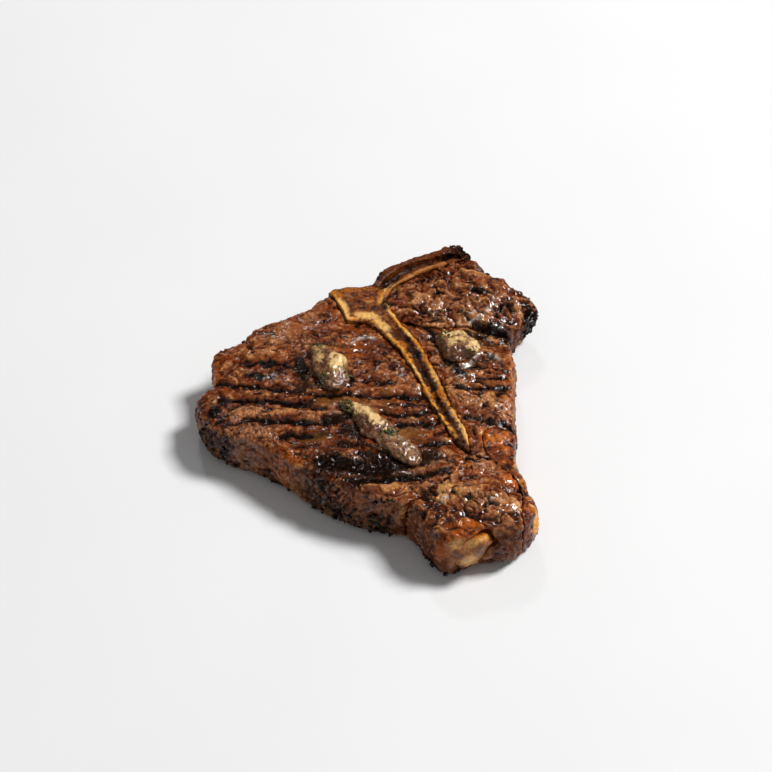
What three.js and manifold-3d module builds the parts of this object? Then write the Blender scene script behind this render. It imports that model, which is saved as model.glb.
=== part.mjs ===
// A grilled T-bone steak with three pats of herb butter, cut across a beef loin and lying on its cut face.
// Millimetres, +Z up. The origin is at the middle of the footprint, on the face that the steak rests on.
// The bone's crossbar is at +Y and the tail at -Y. The strip loin is at -X and the tenderloin at +X.

import * as THREE from "three";
import { mergeVertices } from "three/addons/utils/BufferGeometryUtils.js";
import Module from "manifold-3d";

// Driving dimensions of the cut, and how finely its faces are divided
const THICKNESS = 27;
const MEAT_EDGE_RADIUS = 4.8;
const SLOPE_BEYOND_EDGE = 0.5;
const BONE_EDGE_RADIUS = 2.5;
const BLOCK_WIDTH = 190;
const BLOCK_LENGTH = 222;
const GRID_STEP_X = 3.8;
const GRID_STEP_Y = 2.64;
const OUTLINE_STEP = 4;
const SEAM_STEP = 4.9;
const PIECE_GAP = 0.3;
const MERGE_DISTANCE = 1e-4;
const SIDE_TOP = 60;
const KNIFE_LOW = -20;
const KNIFE_HIGH = 70;
const GRILL_PITCH = 7.9;
const PROBE_SIZE = 1;

// The steak seen from above, clockwise from its far left corner
const OUTLINE = [
  [-77.5, 23], [-71, 27.5], [-65, 29.5], [-59.5, 37], [-53.5, 42.5], [-39.4, 48], [-29.8, 56.3], [-21, 65.5],
  [-11, 70.5], [0, 71.5], [5.5, 80.5], [16.4, 88.2], [27.3, 94], [36, 97.5], [45.5, 101.2], [50.5, 96.5],
  [52.5, 90.5], [57.3, 87.5], [58, 80.5], [60.5, 76.5], [66, 77.5], [70.5, 74.5], [73.5, 70], [79, 66.5],
  [84.2, 62], [86.6, 55.5], [81, 47.5], [70.5, 40.5], [69.8, 31], [71.8, 24], [71.5, 5], [70.8, -20],
  [70, -45], [71.5, -54.5], [74.8, -63], [77.5, -71.5], [78.3, -78.5], [75.5, -85.5], [67, -92.5], [50, -95.5],
  [35.5, -99.8], [28, -94], [17, -78.5], [-6, -71.5], [-29, -57.5], [-52, -39.5], [-70, -31.5], [-79.4, -22],
  [-83, -11], [-83.7, -4], [-82, -0.5], [-77.5, 1], [-76.6, 7], [-76.8, 15],
];

// How far in from the outline the side lies at each height: the side bulges at mid height
const SIDE_ROWS = [
  { z: 0, inset: 4 },
  { z: 2, inset: 1.8 },
  { z: 5.5, inset: 0.5 },
  { z: 10, inset: 0 },
  { z: 14.5, inset: 0.2 },
  { z: 19, inset: 0.6 },
  { z: 24, inset: 1 },
  { z: SIDE_TOP, inset: 1.4 },
];

// Where the foot of the side is drawn in, fully up to one height and not at all above another
const UNDERCUTS = [
  { x: 86, y: 54, reach: 15, inset: 8, from: 7, until: 20 },
];

// Lumps that stand out from the side
const SIDE_LUMPS = [
  { x: 63, y: -94, z: 16, reach: 8, out: 2.2 },
  { x: 76, y: -80, z: 15, reach: 5.5, out: 1.6 },
  { x: 35.5, y: -99, z: 6.5, reach: 5, out: 1.8 },
  { x: -11, y: -69.5, z: 3, reach: 5, out: 1.8 },
  { x: -24, y: -60, z: 4, reach: 5, out: 1.6 },
  { x: 6, y: -75, z: 3, reach: 5, out: 1 },
  { x: -82, y: -12, z: 14, reach: 7, out: 0.6 },
  { x: 84, y: 60, z: 22, reach: 6, out: 1.5 },
];

// Where the muscles, bone and fat part, as lines cut right through. Both sides of the bone end at its tip.
// Each line is also a groove in the upper face, of the given depth.
const BONE_TIP = [47.5, -47];
const FAT_MEETS_TAIL = [58, -50];
const SEAMS = {
  stripSideOfBone: {
    depth: 1.5,
    line: [
      [-30, 72], [-20, 63], [-16.5, 57], [-13.5, 50], [-11.5, 43.5], [-8, 42.5], [-2, 43], [1.5, 40],
      [7.4, 31.6], [13.9, 22.8], [19.3, 12.5], [24.3, 0], [28.9, -12.5], [34.6, -24.5], [40, -37.3], BONE_TIP,
    ],
  },
  filletSideOfBone: {
    depth: 1.2,
    line: [
      [62, 99], [51, 90.5], [43, 85], [34, 79.5], [22, 73.2], [13, 67], [8.4, 60], [10.3, 51.4], [17.5, 38.6],
      [24.1, 27.5], [29.2, 15], [34.3, 1.4], [38.6, -12.6], [43.4, -25.6], [47, -36.8], BONE_TIP,
    ],
  },
  underLobe: {
    depth: 2.2,
    line: [[10, 46.5], [17, 43.5], [26, 41], [37, 41.5], [48, 41], [59, 38.5], [82, 42]],
  },
  stripToTail: {
    depth: 0.8,
    line: [BONE_TIP, [44, -54], [37, -61.5], [28, -68.5], [19, -76], [8, -92]],
  },
  filletToTail: {
    depth: 0.8,
    line: [BONE_TIP, [52, -49.5], FAT_MEETS_TAIL],
  },
  fatRim: {
    depth: 0.9,
    line: [
      [88, -31], [75, -31], [67, -30], [60, -28.5], [55, -31.5], [53.5, -38], [55, -45], FAT_MEETS_TAIL,
      [65, -58], [69.5, -65], [71.5, -73], [70, -84], [74, -98],
    ],
  },
};
const SEAM_WIDTH = 2.2;

// Bone stands a little proud of the meat. Two grooves run along its face: the sawn spinal canal in the
// crossbar, and the softer core between the hard edges of the stem.
const BONE_RISE = 0.5;
const GROOVES = [
  { along: [[6, 68], [11, 73.5], [21.5, 83], [34, 88], [46, 90.5]], halfWidth: 3, depth: 3.6 },
  {
    along: [[7, 49], [11, 41.5], [16, 32.5], [20, 23.5], [24.3, 11], [28, 0], [31.5, -10], [35.5, -21.5], [42, -38]],
    halfWidth: 2, depth: 1.1,
  },
];
const GROOVE_FLARE = 1.2;
const GROOVE_SIDES = 5;

// Broad swells and hollows of the upper face
const SWELLS = [
  { x: -25, y: 5, reach: 42, rise: 1.5 },
  { x: -82, y: 0, reach: 26, rise: -4.5 },
  { x: -50, y: -44, reach: 24, rise: -2.5 },
  { x: 38, y: 68, reach: 24, rise: 3.6 },
  { x: 62, y: 58, reach: 15, rise: 2.6 },
  { x: 86, y: 52, reach: 15, rise: -9 },
  { x: 60, y: 33, reach: 12, rise: -5.5 },
  { x: 38, y: 36, reach: 9, rise: -2.5 },
  { x: 55, y: 6, reach: 20, rise: 1.2 },
  { x: 74, y: -40, reach: 14, rise: -2.5 },
  { x: 52, y: -76, reach: 17, rise: 3.2 },
  { x: 80, y: -72, reach: 12, rise: -5 },
  { x: 20, y: -62, reach: 14, rise: -1.5 },
  { x: -57, y: 19, reach: 6.5, rise: 1.3 },
  { x: -46, y: 18, reach: 6.5, rise: 1.3 },
  { x: -50, y: 6, reach: 7, rise: -1.2 },
  { x: -32, y: 8, reach: 7, rise: -1.5 },
  { x: 27, y: -73, reach: 5.5, rise: -1.8 },
  { x: 57, y: 21, reach: 8, rise: 1.8 },
];

// Grill bars fan out a little. A bar's line holds y - slant * x at a fixed level, and slant falls as y rises.
const SLANT_AT_ZERO = -0.13;
const SLANT_PER_Y = -0.0055;
const FIRST_LEVEL = -9.5;
const GRILL_DEPTH = 1.2;
const GRILL_WIDTH = 1.5;
const GRILL_MARKS = [
  { bar: 0, from: -67, to: -27 },
  { bar: 1, from: -66, to: -24 },
  { bar: 2, from: -53, to: -22 },
  { bar: 3, from: -44, to: -22 },
  { bar: 0, from: -6, to: 26 },
  { bar: 1, from: 2, to: 28 },
  { bar: 2, from: 12, to: 33 },
  { bar: 3, from: 16, to: 34 },
  { bar: 4, from: 20, to: 37 },
  { bar: 4, from: -36, to: -8 },
  { bar: 5, from: -26, to: 30 },
  { bar: 6, from: -20, to: 28 },
  { bar: 7, from: 0, to: 36 },
  { bar: -4, from: 47, to: 68 },
  { bar: -3, from: 46, to: 68 },
  { bar: -2, from: 46, to: 67 },
  { bar: 1, from: 50, to: 70 },
];

// Places with a thicker, craggier crust
const CRUSTS = [
  { x: 80, y: 62, reach: 15 },
  { x: -79, y: -6, reach: 14 },
  { x: 14, y: -66, reach: 20 },
  { x: -22, y: -57, reach: 14 },
];
const CRUST_GAIN = 1.6;

// The height and the width of the lumps on the upper face and on the side, coarse and fine
const FACE_RELIEF = { coarse: { height: 0.9, size: 10 }, fine: { height: 0.6, size: 6 } };
const SIDE_RELIEF = { coarse: { height: 0.9, size: 8 }, fine: { height: 0.5, size: 4.5 } };
const FINE_LAYER = 40;

// The pale lump of fat at the front of the tail: two lobes that flow together
const KNOB = [
  { x: 43.4, y: -93.4, z: 12.8, across: 9.4, along: 7.6, up: 9 },
  { x: 51.5, y: -91.8, z: 19.5, across: 6.4, along: 6.4, up: 5 },
];

// Each pat of butter is a few rounded lobes that flow together, with their centres a little above the face
const BUTTER_LIFT = 0.15;
const BUTTER = {
  butter_left: [
    { x: -24.5, y: 19, across: 4.6, along: 3.4, up: 3 },
    { x: -24, y: 12, across: 4.4, along: 6.6, up: 4.4 },
    { x: -15.5, y: 8, across: 5.2, along: 7, up: 6.4 },
    { x: -19.5, y: 4, across: 4.6, along: 5, up: 4 },
    { x: -15.5, y: -3, across: 6.2, along: 5, up: 4.2 },
  ],
  butter_front: [
    { x: -9.5, y: -18, across: 3.8, along: 3.2, up: 2.8 },
    { x: -3, y: -23.5, across: 5.4, along: 4.8, up: 5.4 },
    { x: 3, y: -29.5, across: 5.6, along: 5, up: 5 },
    { x: 0, y: -33, across: 5, along: 4.4, up: 2.4 },
    { x: 8.5, y: -35.5, across: 5.4, along: 4.8, up: 3.8 },
    { x: 13.5, y: -42.5, across: 7, along: 5.4, up: 2.8 },
    { x: 20, y: -49, across: 5.8, along: 5, up: 2.2 },
  ],
  butter_back: [
    { x: 38, y: 28, across: 5, along: 5, up: 4.8 },
    { x: 44, y: 27.5, across: 5.4, along: 5.4, up: 5.8 },
    { x: 50, y: 21.5, across: 4.2, along: 6, up: 5 },
    { x: 42, y: 18, across: 6, along: 6, up: 4.4 },
  ],
};
const LOBE_BLEND = 1.1;
const LOBE_RELIEF = { height: 0.5, size: 4.5 };
const LUMP_DETAIL = 4;
const LUMP_REACH = 30;
const LUMP_STEP = 0.1;

// A point inside each piece that the knives leave, and its material
const MEAT_AND_FAT = {
  strip_loin: { at: [-30, 0], material: "meat" },
  tenderloin: { at: [55, 5], material: "meat" },
  upper_lobe: { at: [45, 65], material: "meat" },
  tail: { at: [45, -70], material: "meat" },
  fat_rim: { at: [68, -35], material: "fat" },
};
const BONE_AT = [-3, 58];
const MATERIALS = {
  meat: new THREE.MeshStandardMaterial({ color: 0x5a3424, roughness: 0.5, metalness: 0 }),
  bone: new THREE.MeshStandardMaterial({ color: 0xb98a4a, roughness: 0.55, metalness: 0 }),
  fat: new THREE.MeshStandardMaterial({ color: 0xa9692f, roughness: 0.4, metalness: 0 }),
  butter: new THREE.MeshStandardMaterial({ color: 0xd2b070, roughness: 0.35, metalness: 0 }),
};

const wasm = await Module();
wasm.setup();

// The points of a smooth line through the given ones, about a step apart
function smoothLine(points, step, closed = false) {
  const through = points.map(([x, y]) => new THREE.Vector3(x, y, 0));
  const curve = new THREE.CatmullRomCurve3(through, closed, "centripetal");
  const count = Math.round(curve.getLength() / step);
  const spaced = curve.getSpacedPoints(count).map((p) => new THREE.Vector2(p.x, p.y));
  return closed ? spaced.slice(0, -1) : spaced;
}

// The unit normal at each point of a line, to the left of its direction
function leftNormals(line, closed = false) {
  const last = line.length - 1;
  return line.map((point, i) => {
    const before = line[i > 0 ? i - 1 : closed ? last : 0];
    const after = line[i < last ? i + 1 : closed ? 0 : last];
    return new THREE.Vector2(before.y - after.y, after.x - before.x).normalize();
  });
}

function distanceToLine(x, y, line, closed = false) {
  let nearest = Infinity;
  const count = closed ? line.length : line.length - 1;
  for (let i = 0; i < count; i++) {
    const a = line[i];
    const b = line[(i + 1) % line.length];
    const dx = b.x - a.x;
    const dy = b.y - a.y;
    const along = THREE.MathUtils.clamp(((x - a.x) * dx + (y - a.y) * dy) / (dx * dx + dy * dy), 0, 1);
    nearest = Math.min(nearest, Math.hypot(x - a.x - along * dx, y - a.y - along * dy));
  }
  return nearest;
}

function isInside(x, y, polygon) {
  let inside = false;
  polygon.forEach((a, i) => {
    const b = polygon[(i + 1) % polygon.length];
    const crosses = a.y > y !== b.y > y;
    if (crosses && x < a.x + ((y - a.y) / (b.y - a.y)) * (b.x - a.x)) inside = !inside;
  });
  return inside;
}

// A repeatable value from -1 to 1 for each corner of a cubic lattice
const CORNER_STEPS = new THREE.Vector3(127.1, 311.7, 74.7);
const CORNER_SCALE = 43758.5453;
function cornerValue(i, j, k) {
  const s = Math.sin(CORNER_STEPS.dot({ x: i, y: j, z: k })) * CORNER_SCALE;
  return 2 * (s - Math.floor(s)) - 1;
}

// Smooth lumps of about the given size, from -1 to 1
function lumps(x, y, z, size) {
  const cell = [x / size, y / size, z / size];
  const low = cell.map(Math.floor);
  const share = cell.map((v, axis) => THREE.MathUtils.smoothstep(v - low[axis], 0, 1));
  let sum = 0;
  for (let corner = 0; corner < 8; corner++) {
    const step = [corner & 1, (corner >> 1) & 1, corner >> 2];
    const weight = step.reduce((w, s, axis) => w * (s ? share[axis] : 1 - share[axis]), 1);
    sum += weight * cornerValue(low[0] + step[0], low[1] + step[1], low[2] + step[2]);
  }
  return sum;
}

const bell = (distance, width) => Math.exp(-((distance / width) ** 2));

const outline = smoothLine(OUTLINE, OUTLINE_STEP, true);
const seams = Object.values(SEAMS).map(({ depth, line }) => ({ depth, line: smoothLine(line, SEAM_STEP) }));

// How far the upper face has fallen, near the outline, round its edge
function edgeDrop(x, y, radius) {
  const distance = distanceToLine(x, y, outline, true);
  if (!isInside(x, y, outline)) return radius + SLOPE_BEYOND_EDGE * distance;
  const short = Math.max(radius - distance, 0);
  return radius - Math.sqrt(radius ** 2 - short ** 2);
}

function seamDrop(x, y) {
  let deepest = 0;
  for (const { depth, line } of seams) {
    deepest = Math.max(deepest, depth * bell(distanceToLine(x, y, line), SEAM_WIDTH));
  }
  return deepest;
}

function grillDrop(x, y) {
  const slant = SLANT_AT_ZERO + SLANT_PER_Y * y;
  let deepest = 0;
  for (const { bar, from, to } of GRILL_MARKS) {
    const level = FIRST_LEVEL - GRILL_PITCH * bar;
    const past = Math.max(from - x, x - to, 0);
    const away = Math.hypot(y - slant * x - level, past);
    deepest = Math.max(deepest, GRILL_DEPTH * bell(away, GRILL_WIDTH));
  }
  return deepest;
}

function crust(x, y) {
  return CRUSTS.reduce((sum, spot) => sum + bell(Math.hypot(x - spot.x, y - spot.y), spot.reach), 0);
}

// Coarse and fine lumps together, the fine ones stronger where the crust is thick
function relief(x, y, z, { coarse, fine }) {
  const gain = 1 + CRUST_GAIN * crust(x, y);
  const broad = coarse.height * lumps(x, y, z, coarse.size);
  return broad + gain * fine.height * lumps(x, y, z + FINE_LAYER, fine.size);
}

// The height of the upper face, apart from its edge, seams and grill marks
function broadHeight(x, y) {
  const swell = SWELLS.reduce((sum, s) => sum + s.rise * bell(Math.hypot(x - s.x, y - s.y), s.reach), 0);
  return THICKNESS + swell + relief(x, y, 0, FACE_RELIEF);
}

const meatHeight = (x, y) =>
  broadHeight(x, y) - edgeDrop(x, y, MEAT_EDGE_RADIUS) - seamDrop(x, y) - grillDrop(x, y);
const boneHeight = (x, y) => broadHeight(x, y) + BONE_RISE - edgeDrop(x, y, BONE_EDGE_RADIUS);

// A three.js geometry as a solid that can be joined and cut
function toSolid(geometry) {
  const bare = geometry.clone();
  bare.deleteAttribute("normal");
  bare.deleteAttribute("uv");
  const merged = mergeVertices(bare, MERGE_DISTANCE);
  const vertProperties = merged.attributes.position.array;
  const triVerts = new Uint32Array(merged.index.array);
  return new wasm.Manifold(new wasm.Mesh({ numProp: 3, vertProperties, triVerts }));
}

function toGeometry(solid) {
  const mesh = solid.getMesh();
  const geometry = new THREE.BufferGeometry();
  geometry.setAttribute("position", new THREE.BufferAttribute(mesh.vertProperties, mesh.numProp));
  geometry.setIndex(new THREE.BufferAttribute(mesh.triVerts, 1));
  geometry.computeVertexNormals();
  return geometry;
}

// The upper face as a fine grid over a block, its height given by a function. The grid is finer along Y,
// across the grill marks.
function faceBlock(height) {
  const columns = Math.round(BLOCK_WIDTH / GRID_STEP_X);
  const rows = Math.round(BLOCK_LENGTH / GRID_STEP_Y);
  const block = new THREE.BoxGeometry(BLOCK_WIDTH, BLOCK_LENGTH, THICKNESS, columns, rows, 1);
  const position = block.attributes.position;
  for (let i = 0; i < position.count; i++) {
    const x = position.getX(i);
    const y = position.getY(i);
    position.setZ(i, position.getZ(i) > 0 ? height(x, y) : KNIFE_LOW);
  }
  return toSolid(block);
}

// How far the side stands out from the outline at a point, apart from its rows
function sideRelief(x, y, z) {
  let out = relief(x, y, z, SIDE_RELIEF);
  for (const lump of SIDE_LUMPS) out += lump.out * bell(Math.hypot(x - lump.x, y - lump.y, z - lump.z), lump.reach);
  for (const cut of UNDERCUTS) {
    const low = 1 - THREE.MathUtils.smoothstep(z, cut.from, cut.until);
    out -= cut.inset * low * bell(Math.hypot(x - cut.x, y - cut.y), cut.reach);
  }
  return out;
}

// The steak's side as a ring of rows that follow the outline, closed below at the resting face
function sideBody() {
  const normals = leftNormals(outline, true);
  const count = outline.length;
  const corners = [];
  for (const { z, inset } of SIDE_ROWS) {
    outline.forEach((point, i) => {
      const out = sideRelief(point.x, point.y, z) - inset;
      corners.push(point.x + normals[i].x * out, point.y + normals[i].y * out, z);
    });
  }
  const faces = [];
  for (let row = 0; row < SIDE_ROWS.length - 1; row++) {
    for (let i = 0; i < count; i++) {
      const next = (i + 1) % count;
      const [a, b] = [row * count + i, row * count + next];
      faces.push(a, b + count, b, a, a + count, b + count);
    }
  }
  const capOf = (row) => {
    const ring = outline.map((point, i) => {
      const at = 3 * (row * count + i);
      return new THREE.Vector2(corners[at], corners[at + 1]);
    });
    return THREE.ShapeUtils.triangulateShape(ring, []).map((face) => face.map((i) => row * count + i));
  };
  for (const [a, b, c] of capOf(0)) faces.push(a, c, b);
  for (const [a, b, c] of capOf(SIDE_ROWS.length - 1)) faces.push(a, b, c);
  const geometry = new THREE.BufferGeometry();
  geometry.setAttribute("position", new THREE.BufferAttribute(new Float32Array(corners), 3));
  geometry.setIndex(faces);
  return toSolid(geometry);
}

// A thin upright blade along a line, as wide as the gap between two pieces
function knife(line) {
  const normals = leftNormals(line);
  const side = (sign) =>
    line.map((p, i) => new THREE.Vector2().copy(p).addScaledVector(normals[i], (sign * PIECE_GAP) / 2));
  const shape = new THREE.Shape([...side(1), ...side(-1).reverse()]);
  const blade = new THREE.ExtrudeGeometry(shape, { depth: KNIFE_HIGH - KNIFE_LOW, bevelEnabled: false });
  blade.translate(0, 0, KNIFE_LOW);
  return toSolid(blade);
}

// A round-bottomed groove cutter that follows the bone's face and rises out of it at both ends
function groove({ along, halfWidth, depth }) {
  const radius = (halfWidth ** 2 + depth ** 2) / (2 * depth);
  const flat = smoothLine(along, SEAM_STEP);
  const path = flat.map(({ x, y }, i) => {
    const flare = i === 0 || i === flat.length - 1 ? GROOVE_FLARE : 0;
    return new THREE.Vector3(x, y, boneHeight(x, y) + radius - depth + flare);
  });
  const round = new THREE.Shape().absarc(0, 0, radius, 0, 2 * Math.PI);
  const extrudePath = new THREE.CatmullRomCurve3(path);
  const sweep = new THREE.ExtrudeGeometry(round, { extrudePath, steps: path.length, curveSegments: GROOVE_SIDES });
  return toSolid(sweep);
}

// How deep a point lies in a group of lobes: over 1 inside them and under 1 outside
function lobeField(p, lobes) {
  const depth = lobes.reduce((sum, lobe) => {
    const away = Math.hypot((p.x - lobe.x) / lobe.across, (p.y - lobe.y) / lobe.along, (p.z - lobe.z) / lobe.up);
    return sum + Math.exp(LOBE_BLEND * (1 - away ** 2));
  }, 0);
  return depth + LOBE_RELIEF.height * lumps(p.x, p.y, p.z, LOBE_RELIEF.size);
}

// One smooth lump that flows round several lobes. The points of a ball, spread along the line from the first
// lobe to the last, are moved in from outside until they meet the lobes.
function meltedLump(lobes, grow = 0) {
  const centres = lobes.map(({ x, y, z }) => new THREE.Vector3(x, y, z));
  const [first, last] = [centres[0], centres[centres.length - 1]];
  const axis = new THREE.Vector3().subVectors(last, first).normalize();
  const ball = new THREE.IcosahedronGeometry(1, LUMP_DETAIL);
  const position = ball.attributes.position;
  const ray = new THREE.Vector3();
  const start = new THREE.Vector3();
  const p = new THREE.Vector3();
  for (let i = 0; i < position.count; i++) {
    ray.fromBufferAttribute(position, i);
    start.lerpVectors(first, last, (ray.dot(axis) + 1) / 2);
    let out = LUMP_REACH;
    while (out > LUMP_STEP && lobeField(p.copy(start).addScaledVector(ray, out), lobes) < 1) out -= LUMP_STEP;
    p.addScaledVector(ray, grow);
    position.setXYZ(i, p.x, p.y, p.z);
  }
  return toSolid(ball);
}

// The steak under the given upper face, parted along every seam into separate bodies
function cutBodies(height) {
  let parted = sideBody().intersect(faceBlock(height));
  for (const { line } of seams) parted = parted.subtract(knife(line));
  return parted.decompose();
}

function bodyAt(bodies, [x, y]) {
  const probe = toSolid(new THREE.BoxGeometry(PROBE_SIZE, PROBE_SIZE, PROBE_SIZE).translate(x, y, THICKNESS / 2));
  return bodies.find((body) => !body.intersect(probe).isEmpty());
}

// A pat of butter, shaped by the lobes and cut below by the raised upper face
function butterPat(lobes, raisedFace) {
  const placed = lobes.map((lobe) => ({ ...lobe, z: meatHeight(lobe.x, lobe.y) + BUTTER_LIFT * lobe.up }));
  const parts = meltedLump(placed).subtract(raisedFace).decompose();
  return parts.reduce((largest, part) => (part.volume() > largest.volume() ? part : largest));
}

function named(name, solid, material) {
  const mesh = new THREE.Mesh(toGeometry(solid), MATERIALS[material]);
  mesh.name = name;
  return mesh;
}

const steak = new THREE.Group();
const meatBodies = cutBodies(meatHeight);
for (const [name, { at, material }] of Object.entries(MEAT_AND_FAT)) {
  const piece = bodyAt(meatBodies, at);
  steak.add(named(name, name === "tail" ? piece.subtract(meltedLump(KNOB, PIECE_GAP)) : piece, material));
}
steak.add(named("fat_knob", meltedLump(KNOB), "fat"));
const bone = GROOVES.reduce((piece, cut) => piece.subtract(groove(cut)), bodyAt(cutBodies(boneHeight), BONE_AT));
steak.add(named("t_bone", bone, "bone"));
const raisedFace = faceBlock((x, y) => meatHeight(x, y) + PIECE_GAP);
for (const [name, lobes] of Object.entries(BUTTER)) {
  steak.add(named(name, butterPat(lobes, raisedFace), "butter"));
}

export default steak;
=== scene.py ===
import math

import bmesh
import bpy
import numpy as np
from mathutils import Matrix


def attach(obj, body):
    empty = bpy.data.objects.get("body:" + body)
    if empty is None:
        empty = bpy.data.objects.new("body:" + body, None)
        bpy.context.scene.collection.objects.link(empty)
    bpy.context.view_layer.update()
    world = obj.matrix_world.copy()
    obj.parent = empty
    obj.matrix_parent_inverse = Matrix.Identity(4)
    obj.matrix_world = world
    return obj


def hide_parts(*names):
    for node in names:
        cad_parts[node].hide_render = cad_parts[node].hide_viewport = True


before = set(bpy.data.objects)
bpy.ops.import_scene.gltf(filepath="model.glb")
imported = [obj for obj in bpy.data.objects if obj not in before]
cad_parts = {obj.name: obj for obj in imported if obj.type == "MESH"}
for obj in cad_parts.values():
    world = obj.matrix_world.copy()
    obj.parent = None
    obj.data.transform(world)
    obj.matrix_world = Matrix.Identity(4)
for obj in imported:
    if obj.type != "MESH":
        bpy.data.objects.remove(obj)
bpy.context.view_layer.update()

MM = 0.001

# The photograph's camera: 45 degrees above the floor, looking along +Y
CAMERA_PLACE = (0.00826, -0.7530, 0.7778)
CAMERA_TILT = math.radians(45)
SENSOR_MM = 36
LENS_MM = 102.6

# For each node its slot, the size of its mesh's faces in millimetres, and how often its form is smoothed
PIECES = {
    "strip_loin": ("meat", 0.62, 15),
    "tenderloin": ("meat", 0.5, 18),
    "upper_lobe": ("meat", 0.5, 18),
    "tail": ("meat", 0.5, 18),
    "t_bone": ("bone", 0.5, 5),
    "fat_rim": ("fat", 0.5, 14),
    "fat_knob": ("fat", 0.45, 30),
    "butter_left": ("butter", 0.33, 14),
    "butter_front": ("butter", 0.33, 14),
    "butter_back": ("butter", 0.33, 14),
}
# How many times the normals of the juice film are averaged with those round them
FILM_ROUNDS = 3

# Colours as they show in daylight, from 0 to 255
BLACK = (7, 3, 2)
CHAR = (13, 5, 2)
DARK = (42, 15, 5)
MARROW = (58, 23, 7)
JUICE_BROWN = (66, 36, 14)
RED_BROWN = (84, 32, 9)
FOOT_BROWN = (84, 44, 26)
MELTED_BROWN = (92, 56, 36)
BROWN = (110, 54, 21)
OILY_BROWN = (128, 60, 15)
GREY_BROWN = (130, 80, 55)
PINKISH = (140, 84, 66)
TAN = (164, 108, 69)
PALE = (204, 154, 110)
SEAM_ORANGE = (166, 90, 28)
ORANGE = (182, 94, 18)
BONE_ORANGE = (200, 124, 34)
GOLD = (214, 142, 44)
PALE_GOLD = (236, 172, 74)
BONE_EDGE = (240, 172, 72)
CREAM = (234, 194, 128)
OLIVE = (98, 70, 28)
HERB = (46, 54, 10)
DARK_HERB = (26, 30, 6)
DRY_HERB = (92, 92, 26)
PAINTED_GLINT_WHITE = (196, 190, 180)
BUTTER_PALE = (228, 188, 128)
BUTTER_TAN = (176, 134, 82)

# The white room's reflections add grey to dark browns, so that these are made warmer by these shares
WARMER = (1.0, 0.85, 0.62)

# Feature lines are lists of points in millimetres, seen from above. A bar also has a width and a strength
GRILL_LINES = [
    ([(-76, 3), (-66, 1.5), (-58, -0.5), (-47, -3.5), (-36, -6.5), (-28, -8)], 1.7, 1),
    ([(-72, -8), (-62, -9.5), (-52, -11.5), (-41, -13.5), (-30, -16), (-21, -17.5)], 1.8, 1),
    ([(-58, -22.5), (-48, -24.5), (-38, -25.5), (-26, -26.5), (-18, -27)], 2.1, 1),
    ([(-41, -33.5), (-34, -35), (-27, -35)], 2.0, 1),
    ([(-62, 14), (-52, 12.5), (-42, 11.5), (-34, 10)], 1.6, 0.8),
    ([(-26, -9.5), (-16, -9), (-6, -9), (4, -9.5), (14, -9.5), (22, -9), (28, -7.5)], 1.5, 0.95),
    ([(10, -14.5), (20, -15.5), (30, -14)], 1.2, 0.75),
    ([(8, -20.5), (16, -21.5), (24, -20.5), (31, -19)], 2.2, 1),
    ([(14, -28), (24, -27.5), (33, -26)], 2.2, 1),
    ([(23, -41.5), (30, -40.5), (37, -40)], 2.2, 1),
    ([(-6, -62), (8, -62.5), (22, -60), (30, -58), (38, -56)], 2.4, 1),
    ([(-12, 0), (0, 0.5), (13, -1)], 1.1, 0.8),
    ([(-22, 26), (-9, 23)], 1.3, 0.6),
    ([(-4, -47.5), (10, -49.5), (24, -49.5)], 2.2, 0.95),
    ([(48, 9), (58, 9.5), (67, 7)], 1.4, 0.85),
    ([(42, -3.5), (54, -5), (67, -3.5)], 1.7, 1),
    ([(52, 1.5), (66, 2)], 1.1, 0.75),
    ([(47, -22), (54, -25.5), (62, -27.5), (72, -29)], 2.8, 1),
]
# Wide swells of meat between the bars, where the grill didn't touch, each with a width
BETWEEN_BARS = [
    ([(-68, -4), (-54, -6.5), (-40, -9)], 2.6), ([(-64, -17), (-50, -18.5), (-36, -19.5), (-24, -21)], 3.4),
    ([(-52, -29.5), (-40, -30), (-26, -30.5)], 2.6), ([(-60, 19.5), (-48, 18.5), (-38, 18)], 3.2),
    ([(-2, -5), (12, -5), (26, -3)], 2.2), ([(12, -17.5), (28, -17)], 1.6), ([(14, -24.2), (30, -23)], 1.8),
    ([(10, -34), (22, -34), (34, -33)], 3.5), ([(0, -45), (12, -45.5)], 1.6),
    ([(0, -67), (14, -67), (28, -65)], 2.6), ([(44, 0.5), (54, -1), (66, -1)], 2.0),
    ([(44, 5), (54, 5), (64, 4)], 1.8), ([(42, -10), (54, -13), (64, -17)], 5),
]
STEM_RIGHT = [
    (8.5, 54), (9.5, 50), (13, 43.5), (17, 36.5), (21, 30.5), (24.5, 24), (27, 17.5), (29.2, 11), (31.5, 4.5),
    (34, -3), (36.2, -11), (38.8, -17), (41.8, -24), (45, -31.5), (47.2, -41),
]
STEM_LEFT = [
    (-3, 46.5), (1.5, 44.5), (4.5, 40.5), (8.6, 34), (12, 28.5), (15.6, 23), (18.8, 15.5), (21.6, 9),
    (24, 3.5), (26.6, -3), (29.4, -10), (32.4, -18), (36.6, -27), (41, -36),
]
BODY_LEFT = [(-18, 61.5), (-15, 55.5), (-12.5, 49), (-10.5, 43)]
BODY_BOTTOM = [(-10.5, 44), (-5, 44.5), (0, 47.5), (3, 46)]
APEX_LINE = [(5, 55), (6, 60), (8, 64.5), (9.5, 68)]
ARM_LINE = [(9, 62), (12, 66.5), (16, 71), (21.5, 75.3), (28, 79), (34, 81.6), (38, 83.5)]
TROUGH_LINE = [(7, 69), (11, 73.5), (21.5, 83), (34, 88), (46, 91)]
LOBE_SHADOW = [(28, 43), (31, 36), (33.5, 28), (37, 19), (42, 10), (46, 4)]
EDGE_SEAM = [(-71, -31), (-68.5, -35), (-60, -42.5), (-46.5, -46.9), (-33.3, -49.5), (-26, -52)]
TAIL_SEAM = [(42, -48), (46, -54), (50, -60), (54, -63)]
RIGHT_STRIP = [(69, 24), (70, 8), (70, -12)]
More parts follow.
